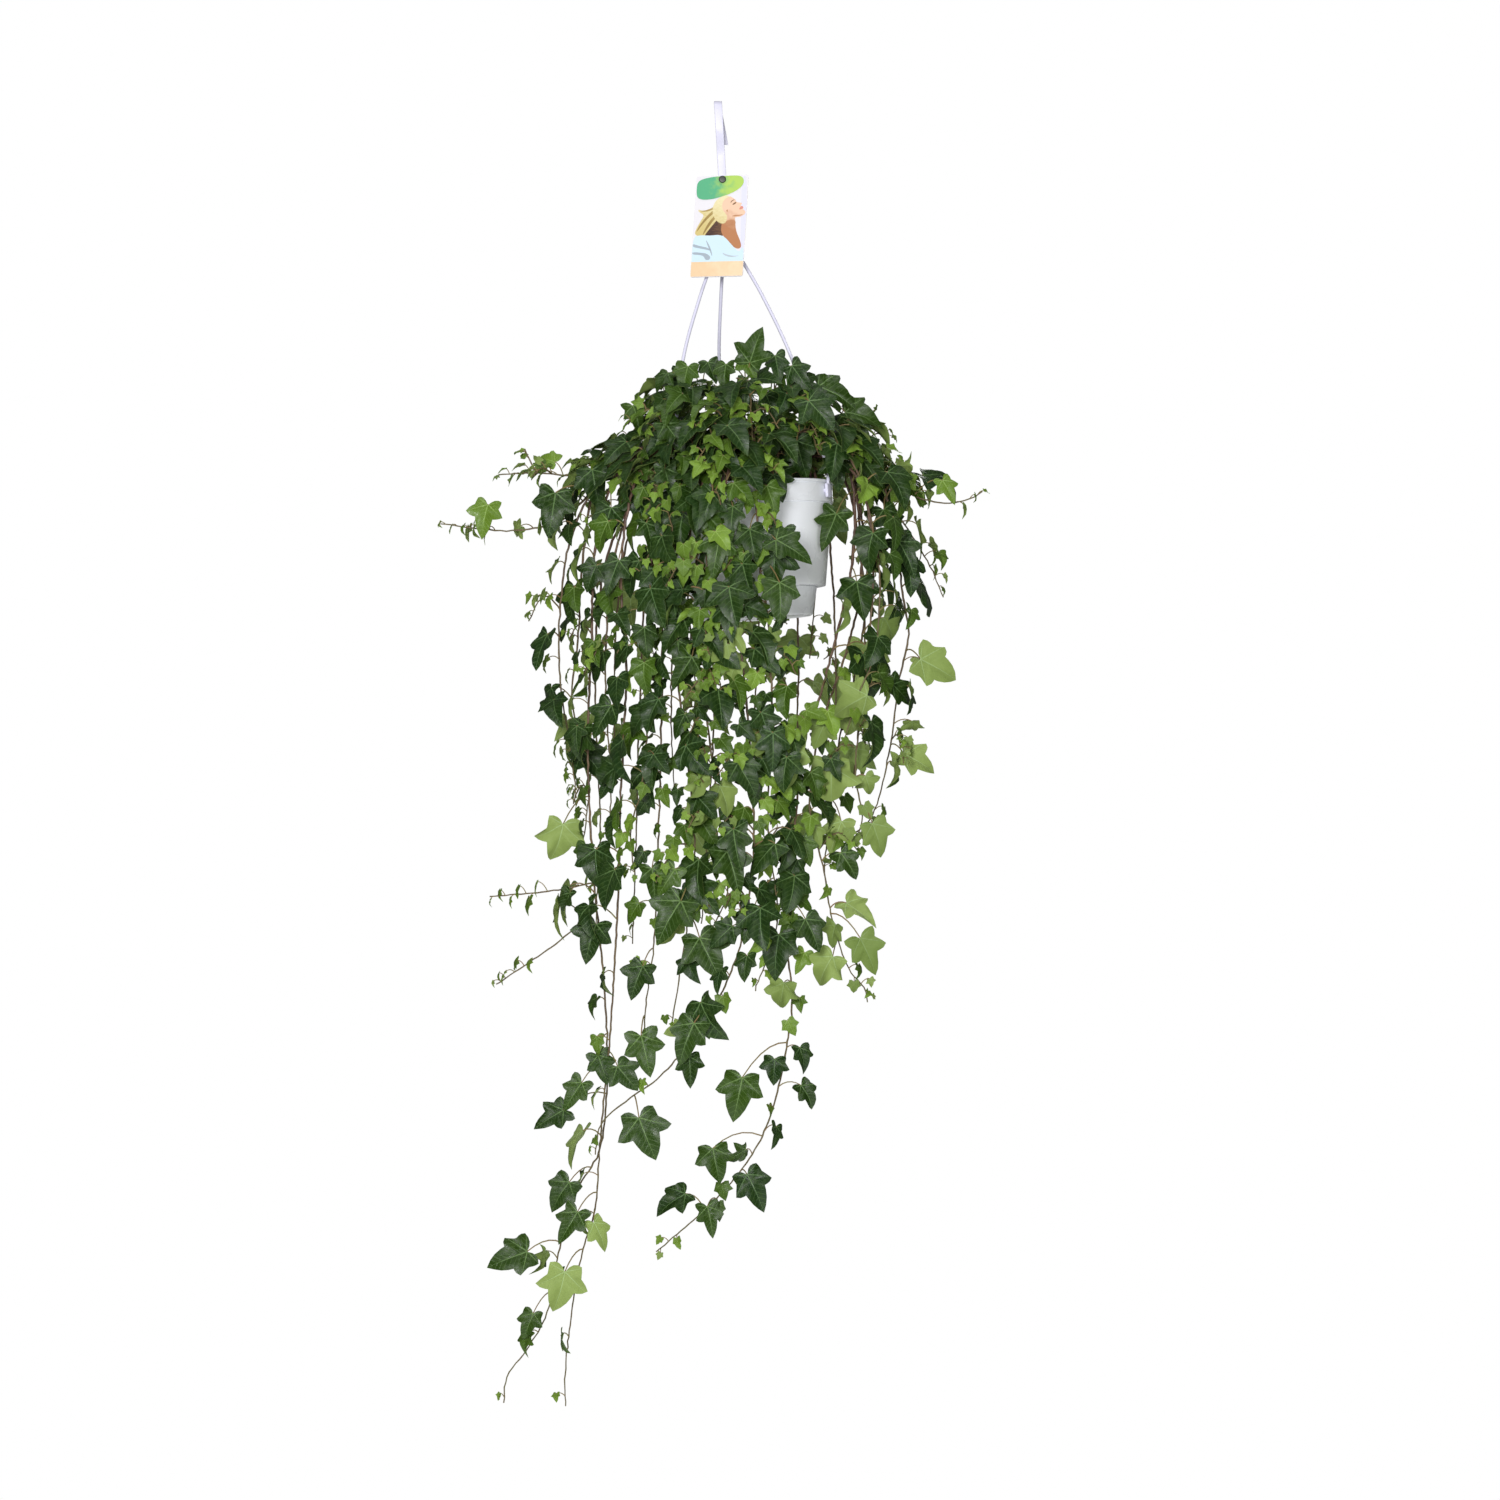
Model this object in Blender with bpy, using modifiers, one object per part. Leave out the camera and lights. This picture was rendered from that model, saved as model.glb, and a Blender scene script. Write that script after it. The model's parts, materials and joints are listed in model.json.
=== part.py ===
# Ivy growing in a hanging pot, in metres with +Z up, seen from the front along +Y.
# The origin is the point where the hook bears on the rail or nail that it hangs from.
# Everything else hangs below that point, and the pot leans a little, as it hangs.

import math
import random

import bmesh
import bpy
from mathutils import Matrix, Vector
from mathutils.bvhtree import BVHTree

OBJECT_NAME = "potted_ivy"
GAP = 0.0003  # left between pieces that lie against each other

# Hanger: a flat strap bent over into a hook, a hub, and three strands to the pot's rim.
STRAP_WIDTH = 0.009
STRAP_THICKNESS = 0.0024
STRAP_LENGTH = 0.1356  # from the bearing point down to the top of the hub
STRAP_DRIFT = 0.0079  # how far right the strap's lower end lies
HOOK_INNER_RADIUS = 0.010
HOOK_LEG_LENGTH = 0.044  # from the bearing point down to the free leg's tip
HOOK_LEG_DRIFT = 0.007  # how far right the free leg's tip lies
HOOK_LEG_SPREAD = 0.002  # how much further back the tip lies than the bend
HUB_WIDTH = 0.021
HUB_DEPTH = 0.0056
HUB_HEIGHT = 0.011
STRAND_RADIUS = 0.0019
STRAND_DROP = 0.2848  # from the hub's underside down to the rim's plane
STRAND_UPRIGHT = 0.02  # how far a strand rises straight from its clip
STRAND_FIRST_AZIMUTH = -26.0
STRAND_COUNT = 3
STRAND_BOWS = [(0.014, -0.004), (-0.016, 0.008), (-0.016, -0.010)]  # right and back, halfway down

# Clips at the strands' lower ends, which go through slots in the pot's collar.
CLIP_WIDTH = 0.012
CLIP_DEPTH = 0.0034
CLIP_HEIGHT = 0.015
CLIP_PEG_WIDTH = 0.006
CLIP_PEG_HEIGHT = 0.004
CLIP_HEAD_HEIGHT = 0.007
CLIP_HEAD_DEPTH = 0.0022
CLIP_CENTRE_BELOW_RIM = 0.0125
CLIP_CLEARANCE = 0.0007  # between the rim and the clip
SLOT_CLEARANCE = 0.0005

# Pot, with its rim's centre to the right of the origin.
POT_OFFSET = 0.0337
POT_LEAN = 3.3  # degrees, with the left side lower
POT_WALL = 0.0017
RIM_RADIUS = 0.0965
RIM_HEIGHT = 0.0032
RIM_OVERHANG = 0.0014
COLLAR_HEIGHT = 0.0244
COLLAR_TAPER = 0.0006
COLLAR_STEP = 0.0012
BODY_HEIGHT = 0.0917
BODY_LOWER_RADIUS = 0.0808
FOOT_DEPTH = 0.012
FLOOR_THICKNESS = 0.002
DRAIN_COUNT = 4
DRAIN_RADIUS = 0.004
DRAIN_CIRCLE_SHARE = 0.62  # of the foot's radius
ROUND_STEPS = 40

# Saucer, snapped to the pot's floor by a post in its middle.
SAUCER_HEIGHT = 0.0324
SAUCER_UPPER_RADIUS = 0.0712
SAUCER_TAPER = 0.0074  # by which its underside's radius is smaller
SAUCER_WALL = 0.0016
SAUCER_FLOOR = 0.002
SAUCER_CLEARANCE = 0.0008
SAUCER_EDGE = 0.0012
POST_RADIUS = 0.0045
POST_HEAD_RADIUS = 0.0062
POST_HEAD_HEIGHT = 0.004
POST_CLEARANCE = 0.0005

# Soil
SOIL_BELOW_RIM = 0.019
SOIL_CROWN = 0.005
SOIL_CLEARANCE = 0.0004

# Tag: a plastic card that hangs on a stud, clear of the strands behind it.
TAG_WIDTH = 0.060
TAG_HEIGHT = 0.121
TAG_THICKNESS = 0.0008
TAG_CORNER = 0.0025
TAG_HOLE_RADIUS = 0.0033
TAG_HOLE_BELOW_TOP = 0.0048
TAG_ROLL = 0.5  # degrees, with its lower end to the left
TAG_PITCH = 13.0  # degrees, with its lower end to the front
TAG_YAW = 12.0  # degrees, with its right edge to the front
STUD_BELOW_BEARING = 0.0865
STUD_RADIUS = 0.0025
STUD_HEAD_RADIUS = 0.0041
STUD_HEAD_THICKNESS = 0.0012
STUD_CLEARANCE = 0.0005
STUD_HEAD_GAP = 0.0019  # between the tag and the head
TAG_STANDOFF = 0.0032  # between the strap's face and the tag's middle, at the stud

# Vines
STEM_BASE_RADIUS = 0.0018
STEM_TIP_RADIUS = 0.0009
STEM_SIDES_RESOLUTION = 1
ROUTE_SAMPLE = 0.008
ROUTE_MOST_TURN = 20.0  # degrees between two points of a stem
ROUTE_MOST_SPAN = 0.11
RISE_HEIGHT = 0.016
CREST_SHARE = 0.80  # of the rim's radius, where a stem is highest
LEAF_THICKNESS = 0.0009
PETIOLE_WIDTH = 0.0017
LEAF_SPACING = 0.125
LEAF_FIRST = 0.07  # from the root to the first leaf, at least
LEAF_FIRST_SPREAD = 0.03
LEAF_LAST = 0.012  # from the last leaf to the stem's tip, at least
LEAF_SMALLEST = 0.034
LEAF_LARGEST = 0.050
LEAF_SHIFT = 0.007  # a leaf without room grows this much further out, up to LEAF_TRIES times
LEAF_TRIES = 4
MM = 0.001
LAID_OUT_RIM = 0.0965  # the rim's radius that the routes below were laid out around

# Each vine: root azimuth in degrees, root distance as a share of the soil's radius, and the
# height of its crest, then the points that it hangs through. Points and heights are in
# millimetres from the rim's centre, and azimuth -90 is the front.
VINES = {
    "vine_left_long": (-160, 0.62, 62, [
        (-138, -60, 16), (-166, -74, -60), (-172, -78, -180), (-176, -76, -300), (-170, -74, -430),
        (-158, -70, -560), (-155, -70, -650), (-163, -66, -735), (-188, -62, -782),
        (-209, -60, -852), (-222, -58, -918), (-245, -56, -960), (-267, -55, -990),
        (-270, -55, -1018)]),
    "vine_left_pale": (-140, 0.78, 48, [
        (-112, -94, 18), (-132, -106, -40), (-138, -108, -120), (-132, -110, -210),
        (-138, -108, -330), (-141, -106, -445), (-146, -100, -540), (-152, -92, -620),
        (-160, -84, -700), (-164, -79, -745), (-168, -78, -800), (-184, -74, -856),
        (-196, -70, -930), (-202, -68, -990), (-201, -68, -1020)]),
    "vine_front_crossing": (-97, 0.80, 58, [
        (-20, -124, 16), (-28, -138, -40), (-26, -146, -95), (-12, -150, -158), (0, -150, -260),
        (6, -146, -400), (-7, -140, -502), (-22, -134, -545), (-47, -122, -594), (-99, -107, -655),
        (-129, -103, -676), (-160, -100, -704), (-167, -97, -738)]),
    "vine_right_long": (-8, 0.70, 40, [
        (108, -22, 24), (119, -30, -20), (114, -48, -100), (92, -82, -190), (77, -98, -243),
        (58, -110, -290), (51, -118, -380), (38, -120, -437), (42, -118, -510), (48, -114, -562),
        (42, -110, -620), (29, -106, -680), (13, -102, -722), (-15, -98, -765), (-60, -92, -811),
        (-100, -88, -846)]),
    "vine_right_curl": (6, 0.82, 34, [
        (112, 2, 20), (124, -6, -30), (126, -24, -110), (108, -58, -190), (80, -86, -270),
        (68, -100, -340), (70, -104, -380), (82, -104, -423), (92, -100, -480), (110, -96, -535),
        (127, -92, -556), (131, -90, -572)]),
    "vine_right_outer": (-18, 0.52, 66, [
        (138, -42, 22), (160, -48, -50), (172, -52, -127), (178, -52, -168), (168, -52, -215),
        (158, -50, -290), (145, -48, -350), (132, -46, -378), (112, -44, -392)]),
    "vine_right_inner": (-18, 0.80, 27, [
        (118, -56, 10), (134, -64, -40), (138, -72, -110), (128, -78, -220), (118, -82, -320),
        (124, -82, -380), (94, -88, -418)]),
    "vine_front_middle": (-108, 0.66, 70, [
        (-44, -116, 20), (-52, -128, -40), (-56, -136, -160), (-42, -140, -280), (-26, -140, -400),
        (-22, -136, -450), (-40, -130, -492)]),
    "vine_front_left": (-119, 0.80, 56, [
        (-66, -110, 16), (-76, -120, -40), (-82, -130, -160), (-68, -132, -280), (-58, -130, -380),
        (-58, -128, -430), (-64, -122, -475), (-74, -116, -540), (-84, -108, -600)]),
    "vine_left_front": (-132, 0.62, 60, [
        (-86, -98, 24), (-98, -112, -40), (-108, -122, -150), (-110, -124, -290),
        (-116, -122, -340), (-127, -120, -382), (-122, -120, -440)]),
    "vine_front_bright": (-100, 0.50, 84, [
        (-30, -128, 28), (-42, -144, -30), (-44, -154, -110), (-34, -158, -190), (-28, -156, -250)]),
    "vine_front_right": (-84, 0.72, 60, [
        (8, -118, 20), (10, -130, -40), (13, -136, -97), (22, -138, -160), (26, -138, -260),
        (22, -136, -380), (32, -131, -470), (25, -127, -513), (13, -123, -542), (8, -119, -557)]),
    "vine_right_front": (-38, 0.66, 52, [
        (108, -78, 30), (138, -98, -60), (144, -104, -120), (136, -106, -198), (119, -104, -238),
        (104, -100, -290)]),
    "vine_right_back": (16, 0.66, 40, [
        (114, 24, 20), (128, 18, -30), (134, 2, -110), (122, -34, -200), (102, -60, -280),
        (94, -70, -322), (88, -74, -380), (84, -74, -430)]),
    "vine_left_outer": (-178, 0.68, 52, [
        (-128, -12, 34), (-166, -20, 8), (-182, -24, -60), (-190, -24, -171), (-197, -24, -238),
        (-191, -24, -270), (-178, -22, -330), (-184, -22, -400)]),
    "vine_left_wide": (-169, 0.80, 44, [
        (-118, -34, 30), (-166, -44, 0), (-196, -50, -60), (-208, -50, -140), (-208, -50, -220),
        (-196, -46, -300), (-190, -46, -350)]),
    "vine_left_inner": (-150, 0.80, 36, [
        (-106, -66, 12), (-134, -84, -40), (-150, -94, -110), (-156, -94, -220), (-150, -91, -330),
        (-152, -90, -400)]),
    "vine_front_short": (-114, 0.86, 26, [
        (-46, -98, 8), (-58, -107, -30), (-66, -108, -100), (-60, -110, -200), (-52, -110, -260)]),
    "vine_left_low": (-126, 0.86, 30, [
        (-66, -90, 8), (-84, -104, -30), (-92, -107, -120), (-94, -106, -260), (-98, -104, -400),
        (-102, -102, -500), (-112, -97, -580), (-116, -90, -628)]),
    "shoot_left_upper": (168, 0.60, 50, [
        (-116, 22, 38), (-150, 20, 22), (-184, 18, 14), (-240, 14, 17), (-281, 12, 15)]),
    "shoot_left_lower": (176, 0.80, 36, [
        (-120, 4, 24), (-160, 0, 8), (-190, -2, -20), (-214, -4, -40), (-246, -6, -48),
        (-290, -8, -49), (-345, -10, -42)]),
    "shoot_right_upper": (-12, 0.84, 42, [
        (112, -22, 44), (150, -24, 8), (191, -26, -14), (219, -24, -20), (243, -22, -17),
        (262, -20, -7)]),
    "shoot_right_lower": (10, 0.50, 58, [
        (126, 30, 40), (156, 28, -4), (172, 22, -32), (193, 16, -66), (208, 12, -94),
        (220, 8, -124)]),
    "vine_back_right": (30, 0.80, 36, [
        (108, 56, 16), (124, 68, -40), (134, 74, -130), (130, 76, -240), (120, 72, -340)]),
    "vine_back_right_long": (46, 0.66, 50, [
        (82, 84, 20), (94, 104, -50), (100, 116, -130), (102, 118, -240), (94, 114, -330),
        (98, 110, -400)]),
    "vine_back_middle": (66, 0.80, 46, [
        (46, 106, 16), (52, 128, -50), (58, 140, -140), (58, 142, -260), (50, 138, -380),
        (44, 132, -470)]),
    "vine_back": (85, 0.64, 58, [
        (4, 114, 22), (8, 138, -40), (14, 150, -120), (8, 154, -240), (4, 150, -350)]),
    "vine_back_left_long": (106, 0.80, 48, [
        (-30, 112, 18), (-38, 134, -40), (-42, 148, -130), (-40, 152, -260), (-48, 148, -400),
        (-54, 142, -500)]),
    "vine_back_left": (122, 0.66, 54, [
        (-64, 98, 20), (-76, 118, -40), (-84, 132, -120), (-90, 134, -240), (-86, 130, -350)]),
    "vine_left_back_long": (137, 0.80, 44, [
        (-88, 82, 16), (-108, 98, -40), (-120, 110, -120), (-126, 112, -250), (-130, 106, -400),
        (-134, 100, -520)]),
    "vine_left_back": (152, 0.66, 50, [
        (-108, 54, 18), (-132, 66, -30), (-148, 76, -110), (-154, 78, -220), (-152, 74, -330)]),
    "vine_left_side": (161, 0.84, 30, [
        (-112, 34, 10), (-142, 40, -30), (-168, 44, -110), (-174, 44, -240), (-168, 40, -380),
        (-172, 36, -470)]),
    "vine_back_right_short": (57, 0.50, 40, [
        (62, 86, 14), (72, 102, -30), (78, 108, -100), (72, 110, -190)]),
    "vine_back_left_short": (114, 0.50, 38, [
        (-44, 94, 10), (-52, 108, -40), (-58, 112, -110), (-56, 114, -180)]),
    "crown_right": (-20, 0.40, 100, [
        (96, -16, 88), (122, -14, 56), (134, -12, 30)]),
    "crown_front_left": (-128, 0.40, 98, [
        (-76, -82, 82), (-108, -100, 46), (-118, -108, 20)]),
    "crown_front": (-88, 0.46, 108, [
        (2, -96, 96), (4, -120, 58), (6, -124, 34)]),
    "crown_left": (-176, 0.42, 100, [
        (-104, -14, 86), (-134, -18, 54), (-146, -26, 30)]),
    "crown_back": (72, 0.44, 92, [
        (20, 94, 76), (22, 118, 44), (20, 128, 16)]),
    "crown_front_right": (-62, 0.46, 96, [
        (52, -84, 86), (70, -104, 58), (80, -112, 30)]),
}

# Side shoots: the vine that each grows from, where it leaves it across and below the rim's
# centre, and its points.
SIDE_SHOOTS = [
    ("vine_left_long", (-170, -440), [(-190, -78, -446), (-226, -80, -452), (-284, -80, -457)]),
    ("vine_left_long", (-167, -470), [(-184, -70, -486), (-207, -66, -506), (-247, -64, -534),
                              (-278, -62, -555)]),
    ("shoot_left_upper", (-238, 17), [(-246, 12, 30), (-253, 10, 44)]),
]

# Large leaves that stand out: for each vine, where the blade's base lies across and below the
# rim's centre in millimetres, its length, how far its tip swings from straight down towards
# the right in degrees, and which face is seen from the front.
LARGE_LEAVES = {
    "vine_left_long": [
        (-166, -486, 44, -20, "upper"), (-182, -660, 36, -35, "upper"), (-164, -630, 34, 20, "upper"),
        (-202, -690, 38, -60, "upper"), (-196, -770, 36, -40, "upper"), (-242, -846, 46, -70, "upper"),
        (-236, -915, 30, -20, "upper")],
    "vine_left_pale": [
        (-142, -640, 34, 40, "upper"), (-186, -800, 40, -30, "upper"), (-168, -812, 36, 30, "under"),
        (-200, -866, 46, -10, "under")],
    "vine_front_crossing": [
        (-30, -66, 46, -10, "upper"), (-58, -590, 46, -25, "upper"), (-118, -694, 48, 20, "upper")],
    "vine_front_middle": [(-22, -404, 50, 20, "upper"), (-60, -196, 40, -30, "upper")],
    "vine_front_left": [(-72, -458, 52, -35, "upper"), (-52, -498, 48, 25, "upper")],
    "vine_front_right": [
        (30, -70, 46, 60, "upper"), (34, -116, 44, 5, "upper"), (6, -466, 40, -15, "upper")],
    "vine_left_low": [
        (-104, -424, 36, 10, "upper"), (-114, -530, 38, -25, "upper"), (-116, -606, 46, 15, "upper")],
    "vine_right_long": [
        (98, -34, 44, -20, "upper"), (46, -290, 52, 0, "under"), (62, -478, 38, 30, "upper"),
        (-6, -650, 46, -10, "upper"), (-38, -728, 38, 10, "upper"), (-44, -792, 34, 15, "upper")],
    "vine_right_curl": [
        (86, -262, 40, -25, "under"), (122, -500, 46, 25, "under"), (92, -520, 40, -35, "under")],
    "vine_right_outer": [
        (166, -66, 44, 30, "upper"), (190, -196, 50, 60, "under"), (172, -300, 44, 60, "under")],
    "vine_right_inner": [(130, -236, 50, -60, "under"), (136, -376, 42, 20, "under")],
    "vine_right_back": [(102, -374, 42, -20, "under")],
    "vine_left_outer": [(-184, -296, 40, 40, "upper"), (-205, -378, 48, -10, "under")],
    "shoot_left_lower": [(-290, -22, 38, -15, "upper")],
    "shoot_right_upper": [(176, 10, 32, -30, "upper"), (216, 4, 30, 30, "upper")],
    "crown_front": [(2, 128, 40, 160, "upper")],
    "crown_right": [(78, 108, 46, 70, "upper"), (108, 80, 42, 80, "upper")],
    "crown_front_right": [(66, 84, 42, 40, "upper")],
}

# Half of a leaf's outline, from beside its stalk round to its tip, for a leaf one unit long.
LEAF_HALF = [(0.40, -0.14), (0.33, 0.14), (0.56, 0.40), (0.24, 0.46)]
LEAF_TIP = (0.0, 1.0)

MATERIAL_LOOKS = {
    "hanger_plastic": ((0.86, 0.86, 0.92), 0.35, 0.0),
    "pot_plastic": ((0.74, 0.77, 0.80), 0.30, 0.0),
    "potting_soil": ((0.06, 0.035, 0.02), 0.95, 0.0),
    "tag_card": ((0.88, 0.86, 0.88), 0.40, 0.0),
    "stud_plastic": ((0.03, 0.04, 0.03), 0.45, 0.0),
    "ivy": ((0.06, 0.16, 0.04), 0.45, 0.0),
}


def clear_scene():
    for old in list(bpy.data.objects):
        bpy.data.objects.remove(old)


def new_collection(name):
    collection = bpy.data.collections.new(name)
    bpy.context.scene.collection.children.link(collection)
    return collection


def make_materials():
    made = {}
    for name, (colour, roughness, metallic) in MATERIAL_LOOKS.items():
        material = bpy.data.materials.new(name)
        material.use_nodes = True
        shader = material.node_tree.nodes["Principled BSDF"]
        shader.inputs["Base Color"].default_value = (*colour, 1.0)
        shader.inputs["Roughness"].default_value = roughness
        shader.inputs["Metallic"].default_value = metallic
        made[name] = material
    return made


clear_scene()
parts = new_collection(OBJECT_NAME)
helpers = new_collection("cutters_and_guides")
materials = make_materials()


# General helpers

def add_part(name, mesh, material, parent=None):
    part = bpy.data.objects.new(name, mesh)
    parts.objects.link(part)
    mesh.materials.clear()
    mesh.materials.append(materials[material])
    part.parent = parent
    return part


def add_helper(name, mesh, parent=None):
    helper = bpy.data.objects.new(name, mesh)
    helpers.objects.link(helper)
    helper.hide_render = True
    helper.display_type = "WIRE"
    helper.parent = parent
    return helper


def shade_round(part, angle=35.0):
    part.data.shade_smooth()
    part.data.set_sharp_from_angle(angle=math.radians(angle))


def turned(name, profile, material, parent):
    """A turned solid from (radius, height) points that end on the axis at both ends."""
    mesh = bpy.data.meshes.new(name)
    points = [(radius, 0.0, height) for radius, height in profile]
    mesh.from_pydata(points, [(i, i + 1) for i in range(len(points) - 1)], [])
    part = add_part(name, mesh, material, parent)
    screw = part.modifiers.new("Turn", "SCREW")
    screw.steps = ROUND_STEPS
    screw.render_steps = ROUND_STEPS
    screw.use_merge_vertices = True
    screw.merge_threshold = 0.00001
    screw.use_smooth_shade = True
    return part


def box_mesh(name, size, place=None):
    mesh = bpy.data.meshes.new(name)
    build = bmesh.new()
    bmesh.ops.create_cube(build, size=1.0)
    build.transform((place or Matrix.Identity(4)) @ Matrix.Diagonal((*size, 1.0)))
    build.to_mesh(mesh)
    build.free()
    return mesh


def cylinder_mesh(name, radius, depth, place=None, sides=16):
    mesh = bpy.data.meshes.new(name)
    build = bmesh.new()
    bmesh.ops.create_cone(
        build, cap_ends=True, segments=sides, radius1=radius, radius2=radius, depth=depth)
    build.transform(place or Matrix.Identity(4))
    build.to_mesh(mesh)
    build.free()
    return mesh


def boolean(part, other, operation):
    step = part.modifiers.new(other.name, "BOOLEAN")
    step.operation = operation
    step.solver = "EXACT"
    step.object = other


def evaluated_mesh(source, name):
    graph = bpy.context.evaluated_depsgraph_get()
    graph.update()
    return bpy.data.meshes.new_from_object(source.evaluated_get(graph), depsgraph=graph)


def tube_mesh(name, points, radii, resolution):
    """A closed round tube through the points, with welded caps."""
    curve = bpy.data.curves.new(name, "CURVE")
    curve.dimensions = "3D"
    curve.bevel_depth = 1.0
    curve.bevel_resolution = resolution
    curve.use_fill_caps = True
    spline = curve.splines.new("POLY")
    spline.points.add(len(points) - 1)
    for control, point, radius in zip(spline.points, points, radii):
        control.co = (*point, 1.0)
        control.radius = radius
    guide = bpy.data.objects.new(name + "_guide", curve)
    helpers.objects.link(guide)
    mesh = evaluated_mesh(guide, name)
    mesh.name = name
    weld = bmesh.new()
    weld.from_mesh(mesh)
    bmesh.ops.remove_doubles(weld, verts=weld.verts, dist=0.00002)
    bmesh.ops.recalc_face_normals(weld, faces=weld.faces)
    weld.to_mesh(mesh)
    weld.free()
    bpy.data.objects.remove(guide)
    bpy.data.curves.remove(curve)
    return mesh


def smooth_route(points, spacing):
    """Points about a spacing apart on a smooth curve through the given points."""
    ends = [points[0] * 2 - points[1], *points, points[-1] * 2 - points[-2]]
    route = []
    for before, start, end, after in zip(ends, ends[1:], ends[2:], ends[3:]):
        length = (end - start).length
        pull = length * 0.5
        leave = (end - before).normalized() * pull * 2
        arrive = (after - start).normalized() * pull * 2
        count = max(1, round(length / spacing))
        for i in range(count):
            t = i / count
            s = t * t
            c = s * t
            route.append(
                start * (2 * c - 3 * s + 1) + leave * (c - 2 * s + t)
                + end * (3 * s - 2 * c) + arrive * (c - s))
    return [*route, points[-1]]


def thin_route(route, most_turn, most_span):
    """The fewest of the route's points that keep its bends."""
    kept = [route[0]]
    last_way = (route[1] - route[0]).normalized()
    for here, after in zip(route[1:-1], route[2:]):
        way = (after - here).normalized()
        turned_by = math.degrees(way.angle(last_way))
        if turned_by >= most_turn or (here - kept[-1]).length >= most_span:
            kept.append(here)
            last_way = way
    return [*kept, route[-1]]


def dense_route(kept, spacing):
    """Points about a spacing apart on the straight runs between the kept points."""
    dense = []
    for start, end in zip(kept, kept[1:]):
        count = max(1, round((end - start).length / spacing))
        dense += [start.lerp(end, i / count) for i in range(count)]
    return [*dense, kept[-1]]


def polar(radius, azimuth, height):
    angle = math.radians(azimuth)
    return Vector((radius * math.cos(angle), radius * math.sin(angle), height))


# Places that follow from the driving dimensions

hub_top = Vector((STRAP_DRIFT, 0.0, -STRAP_LENGTH))
hub_bottom = hub_top - Vector((0.0, 0.0, HUB_HEIGHT))
rim_centre = Vector((POT_OFFSET, 0.0, hub_bottom.z - STRAND_DROP))
ring_height = -(COLLAR_HEIGHT + BODY_HEIGHT)  # where the body ends and the saucer starts
foot_height = ring_height - FOOT_DEPTH
floor_top = foot_height + FLOOR_THICKNESS
collar_upper_radius = RIM_RADIUS - RIM_OVERHANG
collar_lower_radius = collar_upper_radius - COLLAR_TAPER
body_upper_radius = collar_lower_radius - COLLAR_STEP
saucer_bottom = ring_height - SAUCER_HEIGHT


def saucer_outer_radius(height):
    share = (ring_height - height) / SAUCER_HEIGHT
    return SAUCER_UPPER_RADIUS - SAUCER_TAPER * share


foot_radius = saucer_outer_radius(foot_height) - SAUCER_WALL - SAUCER_CLEARANCE

pot_frame = bpy.data.objects.new("pot_frame", None)
helpers.objects.link(pot_frame)
pot_frame.location = rim_centre
pot_frame.rotation_euler = (0.0, -math.radians(POT_LEAN), 0.0)
bpy.context.view_layer.update()
pot_place = pot_frame.matrix_world.copy()


# Pot, saucer and soil

def make_pot():
    inner_collar = collar_upper_radius - POT_WALL
    inner_foot = foot_radius - POT_WALL
    shelf = ring_height + POT_WALL
    profile = [
        (0.0, floor_top),
        (inner_foot, floor_top),
        (inner_foot, shelf),
        (BODY_LOWER_RADIUS - POT_WALL, shelf),
        (body_upper_radius - POT_WALL, -COLLAR_HEIGHT + POT_WALL),
        (collar_lower_radius - POT_WALL, -COLLAR_HEIGHT + POT_WALL),
        (inner_collar, 0.0),
        (RIM_RADIUS - 0.0004, 0.0),
        (RIM_RADIUS, -0.0006),
        (RIM_RADIUS, -RIM_HEIGHT),
        (collar_upper_radius, -RIM_HEIGHT),
        (collar_lower_radius, -COLLAR_HEIGHT),
        (body_upper_radius, -COLLAR_HEIGHT),
        (BODY_LOWER_RADIUS, ring_height),
        (foot_radius, ring_height),
        (foot_radius, foot_height),
        (0.0, foot_height),
    ]
    pot = turned("pot", profile, "pot_plastic", pot_frame)
    hole_depth = FLOOR_THICKNESS * 4
    hole_height = foot_height + FLOOR_THICKNESS / 2
    post_hole = cylinder_mesh(
        "post_hole", POST_RADIUS + POST_CLEARANCE, hole_depth,
        Matrix.Translation((0.0, 0.0, hole_height)))
    boolean(pot, add_helper("post_hole", post_hole, pot_frame), "DIFFERENCE")
    for i in range(DRAIN_COUNT):
        middle = polar(foot_radius * DRAIN_CIRCLE_SHARE, 45 + i * 360 / DRAIN_COUNT, hole_height)
        drain = cylinder_mesh("drain", DRAIN_RADIUS, hole_depth, Matrix.Translation(middle), 10)
        boolean(pot, add_helper(f"drain_{i + 1}", drain, pot_frame), "DIFFERENCE")
    slot_size = (
        RIM_RADIUS * 0.2, CLIP_PEG_WIDTH + 2 * SLOT_CLEARANCE,
        CLIP_PEG_HEIGHT + 2 * SLOT_CLEARANCE)
    for i, azimuth in enumerate(strand_azimuths()):
        middle = polar(collar_upper_radius, azimuth, -CLIP_CENTRE_BELOW_RIM)
        turn = Matrix.Rotation(math.radians(azimuth), 4, "Z")
        slot = box_mesh("slot", slot_size, Matrix.Translation(middle) @ turn)
        boolean(pot, add_helper(f"clip_slot_{i + 1}", slot, pot_frame), "DIFFERENCE")
    return pot


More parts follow.
